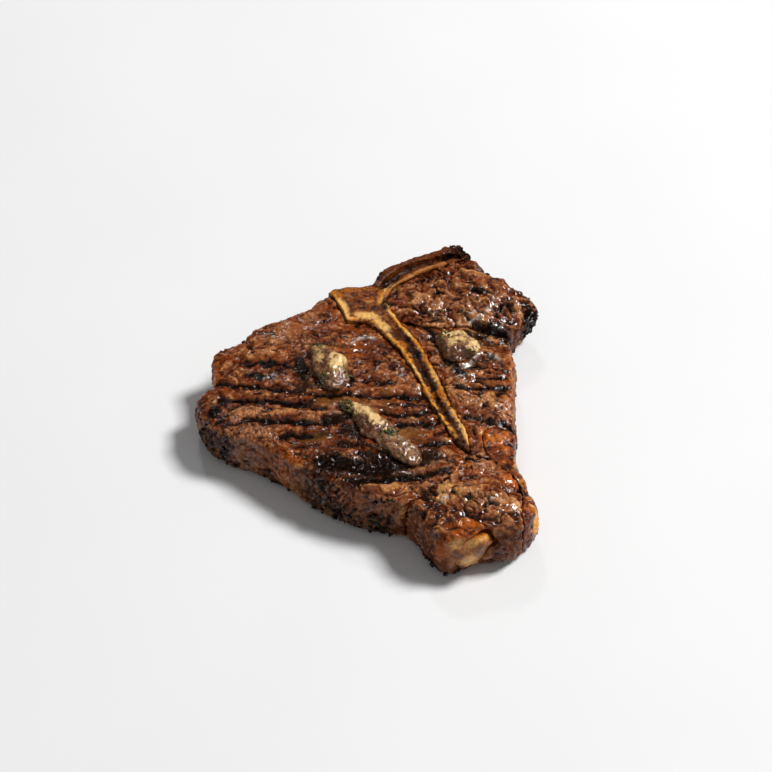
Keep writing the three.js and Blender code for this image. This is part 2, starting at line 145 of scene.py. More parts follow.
TAIL_STROKES = [
    [(30, -62), (35, -69)], [(35, -62), (39, -70)], [(32, -70), (39, -76)], [(29, -73), (35, -79)],
    [(40, -71), (44, -80)],
]
FOLD_LIP = [(45, 9.5), (49, 12), (55, 15.5), (59, 15.5), (65, 11.5)]
FOLD_CREST = [(50, 18.5), (56, 21.5), (62, 19.5)]
# Ridges of juice that catch the light, with whitish painted highlights drawn along them too
GLOSS_LINES = [
    [(46, 11.5), (48, 12), (50.5, 14.5), (54.5, 18.5)], [(57.5, 17.5), (60, 17.5), (63.5, 14.5)],
    [(43, 2.5), (47, 4.5)], [(42.5, 43), (47.5, 42), (52.5, 44.6), (57.6, 49), (61.3, 54), (61.4, 58)],
    [(62, 42), (66.5, 42)], [(64.5, 34), (66, 32)], [(-9, 25), (-6, 28), (-5, 31)],
    [(-8, 29), (-3, 31), (2, 30)], [(15.5, 4), (16.2, 9)], [(54, -79), (58, -78), (61, -79.5)],
    [(34, -78), (36, -75)], [(44, -56), (43, -60)], [(50, 47), (54, 50)], [(-50, 4), (-46, 6)],
]
ROLL_CENTRE = (54, -83.5)
ROLL_HALF = (11, 6.6)
ROLL_TILT = -6
ROLL_GROOVES = [
    [(61, -77.5), (53, -76.5), (46, -77.5), (43.5, -82), (45, -87.5), (51, -90.5), (57, -89.5), (61, -86.5)],
    [(59, -82.5), (55, -81.5), (52.5, -83.5), (54, -86.5)],
]

# Patches are ellipses seen from above: x, y, half width, half length, turn in degrees, strength
# Burnt patches, with painted shadow among them: black beside the butter pats, under the lobe's edge and under
# the fold's lip
BURNT_AND_SHADOW_PATCHES = [
    (-33, 9, 4.2, 11, 10, 1), (-31, -3, 6, 4, 0, 0.85), (-53, 5.5, 8.5, 2.6, -14, 1),
    (-44, 8, 4, 3, 0, 0.8), (-8.5, 1, 2.4, 4.5, 15, 1), (-16, -25, 9, 3.6, 0, 0.95),
    (-7, -33, 8, 5, -35, 0.95), (6, -43.5, 13, 2.4, -8, 0.95), (-16, -53, 14, 6.5, -8, 1),
    (4, -55, 20, 7, 2, 1), (-2, -63, 12, 3.4, 0, 0.95), (27, -49, 10, 5, 0, 0.9),
    (-74.5, -16.5, 3.4, 5, 0, 1), (-68, -27, 3, 2.4, 0, 0.8), (56, 61, 7.5, 2.2, -8, 1),
    (36, 60.5, 2.4, 1.6, 0, 0.9), (46, 71, 2.6, 1.6, 0, 0.8), (81, 52, 5, 10, 15, 1),
    (62, 39.5, 12, 4, -10, 1), (26, -72.5, 3.2, 4.5, 0, 0.9), (48, 95, 5, 6, 0, 1),
    (77, 66, 5, 3, -40, 0.8), (39, -90, 5, 1.6, 0, 0.6), (-72, -42, 8, 5, -30, 0.7),
    (52, 36, 9, 3, -10, 0.95), (-62, -39, 2.5, 2, 0, 0.7), (-10, -41, 7, 3, -10, 0.95),
    (-22, 47, 3, 2, 0, 0.6), (20, 61, 2, 1.4, 0, 0.8), (-27, -41, 4, 1.6, 0, 0.6), (-74, 4, 4, 1.2, 0, 0.6),
    (70, 55, 2.4, 5, 20, 0.7), (32, 46, 5, 2, -30, 0.8), (40, 12, 3.4, 8, 25, 0.9),
    (55, 13.5, 6, 1.8, 0, 0.85), (-47, -29, 3, 1.4, 0, 0.7), (-20, -34, 5, 2, -20, 0.6),
    (-36, -55, 8, 2.4, -28, 0.6), (14, -48, 14, 4, -6, 0.9), (-24, -60, 10, 3, -28, 0.75),
    (10, -61, 14, 4, 0, 0.8),
]
# Dark red-brown patches; the one below the lobe's edge, at 60, 32, is painted shadow
DARK_RED_AND_SHADOW_PATCHES = [
    (-18, -46, 7, 4, 0, 0.9), (60, 32, 11, 4, -8, 1), (47, -40, 6, 9, 20, 0.6), (-66, 6, 6, 6, 0, 0.6),
    (-26, -44, 9, 5, 0, 0.6), (30, -82, 8, 6, 0, 0.6), (-2, 14, 12, 12, 0, 0.35), (20, -70, 8, 5, 0, 0.6),
    (56, 10, 9, 4, 0, 0.5), (66, 2, 5, 12, 0, 0.4), (-25, 30, 16, 5, 20, 0.35), (24, -12, 8, 12, 20, 0.5),
    (-50, -6, 18, 3, -8, 0.4), (60, -92, 9, 5, 0, 0.5), (-66, -28, 5, 4, 0, 0.5),
    (-14, -64, 20, 6, -24, 0.9), (34, -88, 10, 8, 0, 0.7), (8, 22, 8, 14, 30, 0.5), (-72, -12, 5, 10, 0, 0.5),
]
ORANGE_PATCHES = [
    (-75.5, 11, 2.8, 9, 0, 1), (-38, -47.5, 10, 2.2, -8, 0.5), (60, -37, 9, 6, -35, 0.95),
    (66, -64, 5, 5, 0, 0.9), (44, -92, 9, 2.6, 4, 0.9), (57, 9, 7, 2, 0, 0.5), (44, -33, 4, 8, 20, 0.4),
    (6, -45, 7, 1.8, 0, 0.6), (66, -8, 3, 10, 0, 0.5), (-12, 20, 10, 8, 0, 0.3), (42, -56, 4, 6, 20, 0.6),
]
PALE_PATCHES = [
    (-71.5, 13, 1.1, 4.5, -35, 1), (52, -12, 10, 6, 0, 0.6), (62, -17, 6, 3.5, 0, 0.5),
    (36, -50, 3.4, 11, 0, 0.7), (38, -70, 8, 7, 0, 0.8), (55, -56, 8, 7, 0, 0.5), (-56, -17, 14, 4, -4, 0.3),
    (-56, -33, 10, 7, 0, 0.25), (-48, 19, 10, 2, 0, 0.5), (30, 55, 10, 5, -20, 0.4), (54, -79, 9, 4, 0, 0.5),
    (8, -66.5, 9, 2, 4, 0.5), (-40, -50, 12, 2, -25, 0.5),
]
TAN_PATCHES = [
    (-50, 19, 12, 3.2, -3, 0.9), (-25, -17, 12, 3, -6, 0.7), (-63, -19, 9, 5, 0, 0.7),
    (15, -66, 12, 3, 4, 0.9), (-20, 23, 5, 3, 0, 0.6), (42, -8, 7, 8, 0, 0.5), (57, 22, 8, 5, 0, 0.7),
    (-45, -19, 14, 3, -5, 0.6), (14, -34, 12, 3, 0, 0.5), (-8, -14, 12, 2.4, 0, 0.6),
    (18, -5, 10, 2.4, 0, 0.5), (-14, -5, 5, 2.4, 0, 0.6), (54, -80, 12, 7, 0, 0.8),
    (44, 54, 20, 8, -20, 0.5), (40, -72, 10, 8, 0, 0.7), (-30, -60, 22, 6, -32, 0.7),
    (-46, 33, 14, 6, 30, 0.7), (54, -8, 10, 8, 0, 0.6),
]
GREY_PATCHES = [
    (-57, -32, 13, 8, 0, 0.8), (46, 50, 20, 8, 0, 0.8), (30, 62, 18, 10, 0, 0.8), (55, -56, 9, 8, 0, 0.7),
    (54, -80, 13, 7, 0, 0.8), (0, -76, 16, 8, 0, 0.9), (66, 54, 9, 9, 0, 0.7), (24, -56, 7, 6, 0, 0.4),
    (-38, 36, 22, 9, 30, 0.9), (-40, -58, 18, 7, -30, 0.9), (60, -92, 10, 5, 0, 1),
    (20, -86, 12, 8, -20, 0.6), (-56, -15, 14, 4, 0, 0.6), (-62, -44, 12, 4, -20, 0.8),
]
PEBBLY_PATCHES = [
    (-58, -34, 14, 10, 0, 1), (-55, -17, 16, 6, 0, 0.9), (52, -50, 9, 12, 20, 0.9),
    (52, -14, 12, 7, 0, 0.7), (24, -48, 12, 8, -30, 0.8), (66, -18, 6, 6, 0, 0.8), (-76, -24, 8, 8, 0, 0.7),
    (-45, -50, 14, 6, -20, 0.8), (37, -46, 4, 12, 20, 0.7), (-10, 50, 3, 6, 0, 0.5),
]
FILM_PATCHES = [
    (-24, -36, 8, 4, 0, 1), (-19, -11, 9, 4.5, 0, 0.8), (20, -33, 9, 4, -8, 0.7), (-17, 24, 6, 3, 0, 0.7),
    (24, -45, 10, 7, -30, 0.6), (9, -12, 3, 10, 10, 0.6), (-5, -14, 8, 3, 0, 0.6), (48, 13, 5, 3, 0, 0.4),
]
WET_PATCHES = [
    (-50, 5, 10, 5, 0, 1), (-60, -33, 14, 9, 0, 1), (-66, -17, 8, 6, 0, 0.7), (-5, 29, 8, 4, 0, 1),
    (22, -45, 14, 9, -20, 1), (-12, -50, 12, 5, 0, 1), (5, -66, 8, 2, 0, 0.8), (46, 46, 16, 6, 0, 1),
    (64, 40, 9, 6, 0, 1), (54, -80, 13, 7, 0, 1), (37, -70, 10, 9, 0, 1), (65, -15, 5, 4, 0, 1),
    (55, -56, 9, 8, 0, 1), (-40, -22, 12, 6, 0, 0.6), (16, 5, 3, 5, 0, 0.9), (26, -50, 9, 6, 0, 1),
    (57, 15, 9, 5, 0, 1), (56, 61, 9, 4, 0, 0.9), (46, 3, 5, 3, 0, 1), (-35, -14, 6, 3, 0, 0.8),
    (38, -88, 10, 2, 0, 0.9), (-44, -46, 10, 2, -20, 0.8), (-40, 36, 16, 8, 20, 0.4),
]
GREEN_PATCHES = [
    (-26, 23, 5, 3.2, 0, 0.8), (-23, -1, 4.5, 3, 0, 0.7), (-11, -19, 4, 4, 0, 0.8), (9, -37, 4, 3, 0, 0.7),
    (37, 29, 3, 4, 0, 0.6), (50, 17, 4, 3, 0, 0.5), (-10, 3, 3, 3, 0, 0.4), (16, -33, 5, 2.5, 0, 0.5),
]


def linear(colour):
    """A daylight colour from 0 to 255 as the linear values that a shader takes."""
    c = np.array(colour, float) / 255
    return np.where(c <= 0.04045, c / 12.92, ((c + 0.055) / 1.055) ** 2.4)


def fade(value, low, high):
    """0 below low and 1 above high, with a smooth change between them; low may be the larger."""
    t = np.clip((value - low) / (high - low), 0, 1)
    return t * t * (3 - 2 * t)


def blend(base, colour, amount):
    """Arrays of colours moved towards one colour by an amount for each point."""
    return base + (linear(colour) - base) * np.clip(amount, 0, 1)[:, None]


def ramp(value, stops):
    """Colours along a list of (place, colour) stops."""
    places = [place for place, _ in stops]
    colours = np.array([linear(colour) for _, colour in stops])
    return np.stack([np.interp(value, places, colours[:, c]) for c in range(3)], axis=1)


# Repeatable noise over points in millimetres, with features of a given size. Each seed gives its own pattern
def scrambled(i, j, k, seed):
    """Repeatable whole numbers for the corners of a lattice."""
    h = i.astype(np.uint32) * np.uint32(374761393)
    h ^= j.astype(np.uint32) * np.uint32(668265263)
    h ^= k.astype(np.uint32) * np.uint32(2246822519)
    h ^= np.uint32(seed * 40503 + 977)
    h = (h ^ (h >> np.uint32(13))) * np.uint32(1274126177)
    return h ^ (h >> np.uint32(16))


SLOPES = np.array([
    (1, 1, 0), (-1, 1, 0), (1, -1, 0), (-1, -1, 0), (1, 0, 1), (-1, 0, 1), (1, 0, -1), (-1, 0, -1),
    (0, 1, 1), (0, -1, 1), (0, 1, -1), (0, -1, -1), (1, 1, 0), (-1, 1, 0), (0, -1, 1), (0, -1, -1),
], float)


def noise(points, size, seed):
    """Smooth noise from about -1 to 1."""
    q = points / size
    low = np.floor(q)
    away = q - low
    ease = away**3 * (away * (away * 6 - 15) + 10)
    corner = low.astype(np.int64)
    total = np.zeros(len(points))
    for step in np.ndindex(2, 2, 2):
        h = scrambled(*(corner + step).T, seed)
        rise = np.einsum("ij,ij->i", SLOPES[h & 15], away - step)
        total += rise * np.prod(np.where(step, ease, 1 - ease), axis=1)
    return total * 1.4


def octaves(points, size, seed, layers, shape):
    """Noise bent into a shape by a function, with finer and weaker layers added."""
    total = np.zeros(len(points))
    for layer in range(layers):
        total += shape(noise(points, size / 2**layer, seed + layer)) / 2**layer
    return total


def layered(points, size, seed, layers=3):
    """Noise with finer detail."""
    return octaves(points, size, seed, layers, lambda v: v) / 1.5


def ridged(points, size, seed, layers=2):
    """Noise with sharp crests near 1 and round hollows near -1."""
    return octaves(points, size, seed, layers, lambda v: 1 - 2 * np.abs(v)) / 1.5


def billow(points, size, seed, layers=2):
    """Noise with round swells parted by sharp creases: 0 in a crease and near 1 on a swell."""
    swells = octaves(points, size, seed, layers, lambda v: np.minimum(1.8 * np.abs(v), 1))
    return swells / (2 - 0.5 ** (layers - 1))


def warped(points, shift, size, seed):
    """Points shifted by noise, so that noise over them curls."""
    return points + shift * np.stack([noise(points, size, seed + axis) for axis in range(3)], axis=1)


def pebbles(points, size, seed):
    """Round lumps packed together: near 1 at a lump's middle and 0 between lumps."""
    q = points / size
    corner = np.floor(q).astype(np.int64)
    nearest = np.full(len(points), 9.0)
    for step in np.ndindex(3, 3, 3):
        cell = corner + np.array(step) - 1
        h = scrambled(*cell.T, seed)
        spot = np.stack([(h >> np.uint32(s)) & np.uint32(255) for s in (0, 8, 16)], axis=1) / 255
        nearest = np.minimum(nearest, ((cell + spot - q) ** 2).sum(1))
    return np.clip(1 - nearest, 0, 1)


# Places on the steak
def line_distance(xy, line):
    """Distance from each point to a line of points."""
    nearest = np.full(len(xy), 1e9)
    for a, b in zip(line, line[1:]):
        a, d = np.array(a, float), np.array(b, float) - np.array(a, float)
        t = np.clip((xy - a) @ d / (d @ d), 0, 1)
        nearest = np.minimum(nearest, np.hypot(*(xy - a - t[:, None] * d).T))
    return nearest


def bell(distance, width):
    """1 at no distance and less and less further away."""
    return np.exp(-((distance / width) ** 2))


def turned(x, y, degrees):
    """The same places, measured along axes that are turned by some degrees."""
    c, s = math.cos(math.radians(degrees)), math.sin(math.radians(degrees))
    return x * c + y * s, y * c - x * s


def ellipse_distance(xy, centre, half, turn):
    """Distance from the middle of a turned ellipse, which is 1 on its rim."""
    a, b = turned(xy[:, 0] - centre[0], xy[:, 1] - centre[1], turn)
    return np.hypot(a / half[0], b / half[1])


def strongest(marks):
    """The largest of several marks at each point."""
    return np.maximum.reduce(list(marks))


def in_patches(xy, patches):
    """How strongly each point lies in any of the ellipses."""
    return strongest(
        strength * fade(ellipse_distance(xy, (x, y), (across, along), turn), 1.25, 0.6)
        for x, y, across, along, turn, strength in patches
    )


def on_lines(xy, lines, width):
    """1 on any of the lines and 0 well away from them."""
    return strongest(bell(line_distance(xy, line), width) for line in lines)


def grill_marks(xy):
    """1 in the middle of a bar's mark on the upper face and 0 away from it."""
    return strongest(strength * bell(line_distance(xy, line), width) for line, width, strength in GRILL_LINES)


def underside_marks(xy):
    """Evenly spaced bars on the face that the photograph doesn't show."""
    return bell((xy[:, 1] + BAR_SLANT * xy[:, 0]) % BAR_PITCH - BAR_PITCH / 2, 1.3)


def between_bars(xy):
    """1 on the middle of a swell between two bars and 0 away from it."""
    return strongest(bell(line_distance(xy, line), width) for line, width in BETWEEN_BARS)


def crusted(xy):
    """1 where the thick crust that breaks the outline is strongest and 0 away from it."""
    return strongest(bell(np.hypot(xy[:, 0] - x, xy[:, 1] - y), reach) for x, y, reach in CRUSTS)


def facing_up(up):
    """1 on what faces up and 0 on sides and below, from the upward part of each normal."""
    return fade(up, 0.3, 0.8)


def stretched(points, turn, length):
    """Points squeezed along one direction, so that noise over them is drawn out along it."""
    along, across = turned(points[:, 0], points[:, 1], turn)
    return np.stack([along / length, across, points[:, 2]], axis=1)


def ragged(points, seed):
    """Places seen from above, shifted a little, so that what is drawn there gets uneven edges."""
    shift = [layered(points, 4, seed + 10 * axis, 2) for axis in range(2)]
    return points[:, :2] + 1.8 * np.stack(shift, axis=1)


# Fine meshes
def fine_mesh(node):
    """A new object in the form of a CAD node, with an even, fine, softened mesh."""
    _, cell, smoothing = PIECES[node]
    piece = bpy.data.objects.new("skin_" + node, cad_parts[node].data.copy())
    bpy.context.scene.collection.objects.link(piece)
    remesh = piece.modifiers.new("even", "REMESH")
    remesh.mode = "VOXEL"
    remesh.voxel_size = cell * 1 * MM
    soften = piece.modifiers.new("soft", "SMOOTH")
    soften.factor = 0.5
    soften.iterations = smoothing
    ready = piece.evaluated_get(bpy.context.evaluated_depsgraph_get())
    mesh = bpy.data.meshes.new_from_object(ready)
    piece.modifiers.clear()
    piece.data = mesh
    mesh.materials.clear()
    mesh.shade_smooth()
    return piece


def points_of(mesh):
    """The vertices in millimetres, and their normals."""
    co = np.empty(len(mesh.vertices) * 3)
    mesh.vertices.foreach_get("co", co)
    normals = np.empty(len(mesh.vertices) * 3)
    mesh.vertex_normals.foreach_get("vector", normals)
    return co.reshape(-1, 3) / MM, normals.reshape(-1, 3)


def settle(mesh, points, normals, height):
    """Moves each vertex along its normal, but the resting face only inwards and nothing below the floor."""
    resting = fade(normals[:, 2], -0.6, -0.9)
    height = height * (1 - resting) + np.minimum(height, 0) * resting
    moved = points + normals * height[:, None]
    moved[:, 2] = np.maximum(moved[:, 2], 0)
    mesh.vertices.foreach_set("co", (moved * MM).ravel())
    mesh.update()


def film_normals(mesh):
    """Normals of the juice film, which lies smoother than the surface below it."""
    ends = np.empty(len(mesh.edges) * 2, np.int32)
    mesh.edges.foreach_get("vertices", ends)
    a, b = ends.reshape(-1, 2).T
    normals = points_of(mesh)[1]
    for _ in range(FILM_ROUNDS):
        total = normals.copy()
        for axis in range(3):
            total[:, axis] += np.bincount(a, normals[b, axis], len(normals))
            total[:, axis] += np.bincount(b, normals[a, axis], len(normals))
        normals = total / np.maximum(np.linalg.norm(total, axis=1), 1e-9)[:, None]
    return normals


def paint(mesh, tint, wet, grit):
    """Stores the colour, wetness, grittiness and film normal of each vertex for the materials to read."""
    layer = mesh.attributes.new("film", "FLOAT_VECTOR", "POINT")
    layer.data.foreach_set("vector", film_normals(mesh).ravel())
    layer = mesh.attributes.new("tint", "FLOAT_COLOR", "POINT")
    layer.data.foreach_set("color", np.c_[np.clip(tint, 0, 1), np.ones(len(tint))].ravel())
    for name, values in (("wet", wet), ("grit", grit)):
        layer = mesh.attributes.new(name, "FLOAT", "POINT")
        layer.data.foreach_set("value", np.clip(values, 0, 1))


def lay_on(tint, layers, q, tone):
    """Lays on patches of colour, each with its strength and the tones at which it starts and is full."""
    for patches, colour, strength, start, full in layers:
        tint = blend(tint, colour, strength * in_patches(q, patches) * fade(tone, start, full))
    return tint


# Meat
MEAT_TONES = [
    (-1.0, BLACK), (-0.6, CHAR), (-0.3, DARK), (0.0, RED_BROWN), (0.28, BROWN), (0.6, GREY_BROWN),
    (0.9, TAN), (1.3, PALE),
]
# Heights in millimetres of each kind of relief, the size of the folds, the way they run in degrees, and the
# lightness of the meat
MEAT_RELIEF = {
    "strip_loin": dict(fibres=0.45, folds=0.9, fold_size=5, creases=0.6, lumps=0.3, turn=-6, tone=0.16),
    "tenderloin": dict(fibres=0.5, folds=1.1, fold_size=5, creases=0.7, lumps=0.25, turn=-25, tone=0.32),
    "upper_lobe": dict(fibres=0.6, folds=2.7, fold_size=7, creases=2.0, lumps=0.15, turn=-18, tone=0.18),
    "tail": dict(fibres=0.5, folds=1.9, fold_size=6, creases=1.5, lumps=0.2, turn=-35, tone=0.18),
}
MEAT_LAYERS = [
    (GREY_PATCHES, GREY_BROWN, 0.65, 0.0, 0.5),
    (DARK_RED_AND_SHADOW_PATCHES, DARK, 0.7, 1.1, 0.5),
    (TAN_PATCHES, TAN, 0.55, 0.1, 0.6),
    (PALE_PATCHES, PALE, 0.7, 0.3, 0.9),
    (PEBBLY_PATCHES, PINKISH, 0.3, -0.1, 0.4),
]
# The round end of the tail, as patches over x and y + z, which is how it shows from the front and above
ROUND_END = [
    ([(62, -78, 8, 11, 0, 1)], (92, 52, 32), 0.6),
    ([(46, -72, 12, 7.5, 0, 1), (37, -80, 6.5, 9, 0, 0.9)], (150, 76, 20), 0.9),
    ([(34, -92, 7, 6, 0, 1), (46, -95, 12, 4, 0, 1)], (92, 46, 18), 0.85),
    ([(43, -81.5, 8.5, 10, 0, 1), (50.5, -78.5, 6.5, 6.5, 0, 0.9)], (154, 108, 74), 0.95),
    (
        [(46.5, -87, 4.5, 3.6, 0, 1), (40, -77, 3, 3.4, 0, 0.7), (48, -76, 3, 2.4, 0, 0.6)],
        (214, 176, 120),
        0.8,
    ),
    ([(51.6, -80.5, 3.6, 4, 0, 0.9), (41.3, -82.5, 2.4, 3, 0, 1)], (104, 62, 42), 0.85),
    ([(52.8, -72.5, 4.4, 3.6, 0, 1), (45, -89, 3, 2, 0, 0.6)], (204, 154, 68), 0.8),
]
# Thick crust that breaks the outline: x, y, reach
CRUSTS = [
    (82, 60, 13), (-79, -28, 9), (-72, -34, 8), (-14, -64, 12), (6, -72, 9), (47, 97, 9), (80, -78, 6),
    (72, -30, 5), (-66, 32, 6), (62, 78, 7), (3, 77, 5),
]
# The underside's bars, in millimetres
BAR_PITCH = 8
BAR_SLANT = 0.25
# Heights and depths in millimetres
BAR_DEPTH = 1.2
SWELL_RISE = 0.5
BEAD_RISE = 0.5
SIDE_SETBACK = 0.45
SIDE_CRAGS = 1.1
EDGE_CRUST = 1.9
BURNT_CRUST = 0.4
LIP_DEPTH = 1.9
CREST_RISE = 0.9
CUFF_RISE = 1.1
GROOVE_DEPTH = 1.5
ROLL_RISE = 1.0


def meat_crust(node, p, side, marks, film):
    """Height of the fibres, folds, creases, lumps and crags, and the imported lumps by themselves."""
    xy = p[:, :2]
    amount = MEAT_RELIEF[node]
    bent = warped(warped(p, 3.0, 11, 24), 1.7, 5, 21)
    folds = billow(stretched(bent, amount["turn"], 1.8), amount["fold_size"], 31, 3) - 0.42
    fibres = ridged(stretched(bent, amount["turn"], 2.8), 2.3, 33) - 0.35
    creases = bell(noise(stretched(bent, amount["turn"], 1.5), 8, 36), 0.07)
    creases *= fade(noise(p, 7, 37), -0.3, 0.2)
    pebbly = np.maximum(in_patches(xy, PEBBLY_PATCHES), 0.5 * side)
    lumps = pebbles(bent, 2.5, 35) - 0.55
    crags = billow(bent, 5.5, 38) - 0.42
    crust = amount["folds"] * folds * (1 - 0.5 * side) + amount["fibres"] * fibres * (1 - 0.5 * side)
    crust += np.maximum(amount["lumps"], 0.9 * pebbly) * lumps + 0.2 * layered(p, 1.6, 39, 2)
    crust += SIDE_CRAGS * side * crags - amount["creases"] * creases * (1 - side)
    crust *= (1 - 0.8 * film) * (1 - 0.5 * marks)
    crust += EDGE_CRUST * crusted(xy) * side * (billow(bent, 3.4, 40, 1) - 0.45)
    crust += BURNT_CRUST * in_patches(xy, BURNT_AND_SHADOW_PATCHES) * (ridged(bent, 2.8, 41) - 0.2)
    return crust, lumps * pebbly


def meat_height(node, p, top, side, crust, marks):
    """The crust with bars, swells and beads of juice, and with the larger forms that only one piece has."""
    xy = p[:, :2]
    height = crust - BAR_DEPTH * marks + SWELL_RISE * between_bars(xy) * top - SIDE_SETBACK * side
    height += BEAD_RISE * on_lines(xy, GLOSS_LINES, 1.1) * top
    if node == "tenderloin":
        height -= top * LIP_DEPTH * bell(line_distance(xy, FOLD_LIP), 1.1)
        height += top * CREST_RISE * bell(line_distance(xy, FOLD_CREST), 4)
    if node == "tail":
        cuff = halo_round_knob(p)
        height = height * (1 - 0.6 * cuff) + CUFF_RISE * cuff
        height -= top * GROOVE_DEPTH * on_lines(warped(p, 0.8, 3, 42)[:, :2], ROLL_GROOVES, 0.7)
        roll = ellipse_distance(xy, ROLL_CENTRE, ROLL_HALF, ROLL_TILT)
        height += top * ROLL_RISE * fade(roll, 1.1, 0.4)
    return height


def halo_round_knob(p):
    """1 on the smooth fatty cuff round the knob and 0 away from it."""
    away = np.hypot((p[:, 0] - 43) / 13.5, (p[:, 2] - 14) / 12.5)
    return fade(away, 1.15, 0.9) * fade(p[:, 1], -85, -90)


def round_end(p, tint, tone):
    """Paints the pale fat of the tail's round end and the orange cuff over it, on whatever lies there."""
    seen = np.c_[p[:, 0] + 1.0 * noise(p, 4, 118), p[:, 1] + p[:, 2] + 1.4 * noise(p, 4, 119)]
    front = fade(p[:, 1], -82, -88) * fade(tone, -1.3, -0.3)
    for patches, colour, strength in ROUND_END:
        tint = blend(tint, colour, strength * front * in_patches(seen, patches))
    return tint


def browned(p, q, tone, side):
    """Browned meat with its patches of colour, darker down its sides and orange along its seams."""
    tint = ramp(tone, MEAT_TONES)
    oily = fade(layered(p, 8, 59), -0.05, 0.4) * fade(tone, -0.5, 0.1) * (1 - 0.5 * side)
    tint = blend(tint, OILY_BROWN, 0.65 * oily * fade(tone, 1.2, 0.6))
    tint = lay_on(tint, MEAT_LAYERS, q, tone)
    tint = blend(tint, DARK, 0.3 * side)
    near = side * fade(p[:, 1], -25, -45) * fade(p[:, 2], 9, 16) * fade(p[:, 0], 16, 2)
    tint = blend(tint, PINKISH, 0.45 * near * fade(tone, -0.4, 0.4))
    tint = blend(tint, ORANGE, 0.8 * in_patches(q, ORANGE_PATCHES) * fade(tone, -0.5, 0.3))
    seams = on_lines(q, (EDGE_SEAM, TAIL_SEAM, RIGHT_STRIP), 1.5)
    return blend(tint, SEAM_ORANGE, 0.8 * seams * fade(tone, -0.6, 0.1) * (1 - 0.6 * side))


def char_and_painted_shadow(node, p, q, tone, side, marks):
    """How dark each point is: char in bars and burnt patches, painted shadow in some of those patches and
    below the lobe, the foot of the side, crusted edges and flecks.
    """
    char = np.maximum(0.98 * fade(marks, 0.12, 0.7), 0.98 * in_patches(q, BURNT_AND_SHADOW_PATCHES) * fade(tone, 2.1, 1.1))
    # Painted shadow below the lobe's edge, in the colour of char
    if node == "tenderloin":
        char = np.maximum(char, on_lines(q, (LOBE_SHADOW,), 3.2))
    foot = fade(p[:, 2], 9, 2) * side * fade(layered(p, 6, 63), -0.3, 0.4)
    char = np.maximum(char, 0.93 * foot)
    low = np.where(p[:, 1] < -40, fade(p[:, 2], 18, 10), 1)
    char = np.maximum(char, crusted(p[:, :2]) * side * low * fade(layered(p, 5, 64), -0.7, 0.1))
    flecks = fade(pebbles(p, 2.0, 65) + 0.5 * layered(p, 9, 67), 1.0, 1.15)
    return np.maximum(char, 0.85 * flecks)


def meat_colour(node, p, up, crust, lumps, marks, film):
    """Painted light on what stands out, then patches, sauce, char in bars, painted shade in hollows, and
    painted glints of juice.
    """
    q = ragged(p, 51)
    side = fade(np.abs(up), 0.8, 0.35)
    top = facing_up(up)
    amount = MEAT_RELIEF[node]
    bulge = np.clip(crust / (0.4 + 0.22 * amount["folds"]), -1.2, 1.2)
    swell = between_bars(q) * top
    # The tone rises with the crust and the lumps: painted light where they stand out and painted shade where
    # they sink, on top of the meat's own browning
    tone = amount["tone"] + 0.4 * layered(p, 9, 53) + 0.34 * noise(p, 1.6, 57) + 0.72 * bulge
    tone += 0.7 * lumps * (1 - 0.5 * side)
    tone += 0.35 * in_patches(q, TAN_PATCHES) + 0.25 * in_patches(q, GREY_PATCHES) + 0.22 * swell
    tint = browned(p, q, tone, side)
    if node == "tail":
        tint = blend(tint, CREAM, 0.6 * on_lines(q, TAIL_STROKES, 0.8) * fade(tone, -0.2, 0.5))
        # Painted shade in the roll's grooves, which are also sunk
        tint = blend(tint, DARK, 0.9 * on_lines(q, ROLL_GROOVES, 0.8) * top)
        tint = round_end(p, tint, tone)
    tint = blend(tint, OLIVE, 0.7 * film)
    tint = blend(tint, HERB, 0.8 * in_patches(q, GREEN_PATCHES) * fade(noise(p, 1.4, 61), 0.1, 0.5))
    # Painted shade: the crust's hollows and the gaps between lumps are darkened towards char
    hollows = np.maximum(0.88 * fade(bulge, -0.25, -0.85) * (1 - film), 0.8 * fade(lumps, -0.25, -0.42))
    tint = blend(tint, CHAR, np.maximum(char_and_painted_shadow(node, p, q, tone, side, marks), hollows))
    # Painted highlights: whitish glints along the ridges of juice
    near_lines = p[:, :2] + 0.4 * (q - p[:, :2])
    glints = on_lines(near_lines, GLOSS_LINES, 0.75) * fade(noise(p, 1.5, 68), -0.25, 0.1)
    return blend(tint * WARMER, PAINTED_GLINT_WHITE, 0.75 * glints * top)


def meat_juice(p, q, up, marks, film):
    """How wet and how gritty each point is: juice in dabs, few on char, and thick in the beads."""
    juicy = 0.7 + 0.9 * in_patches(q, WET_PATCHES) + 0.4 * film + 0.5 * fade(layered(p, 6, 75), 0.0, 0.5)
    juicy *= 1 - 0.5 * fade(np.abs(up), 0.7, 0.3)
    dabs = fade(noise(p, 2.2, 77), -0.2, 0.2)
    dark = np.maximum(fade(marks, 0.2, 0.7), in_patches(q, BURNT_AND_SHADOW_PATCHES))
    wet = juicy * (0.15 + 0.85 * dabs) * (1 - dark) + 0.95 * dark * fade(noise(p, 2.2, 78), 0.1, 0.3)
    beads = on_lines(p[:, :2], GLOSS_LINES, 1) * facing_up(up)
    pebbly = in_patches(q, PEBBLY_PATCHES)
    grit = (0.45 + 0.5 * np.maximum(0.8 * pebbly, 0.8 * dark)) * (1 - 0.8 * film) * (1 - 0.7 * beads)
    return wet + 2 * beads, grit


def meat_look(node, p, up):
    """Height, colour, wetness and grit of a meat piece."""
    q = ragged(p, 71)
    film = in_patches(q, FILM_PATCHES) * fade(up, 0.2, 0.7)
    marks = np.where(up > 0, grill_marks(q), underside_marks(q)) * fade(np.abs(up), 0.3, 0.8)
    marks *= 0.6 + 0.4 * fade(layered(p, 5, 73), -0.6, 0.1)
    side = fade(np.abs(up), 0.85, 0.35)
    crust, lumps = meat_crust(node, p, side, marks, film)
    tint = meat_colour(node, p, up, crust, lumps, marks, film)
    return meat_height(node, p, facing_up(up), side, crust, marks), tint, *meat_juice(p, q, up, marks, film)


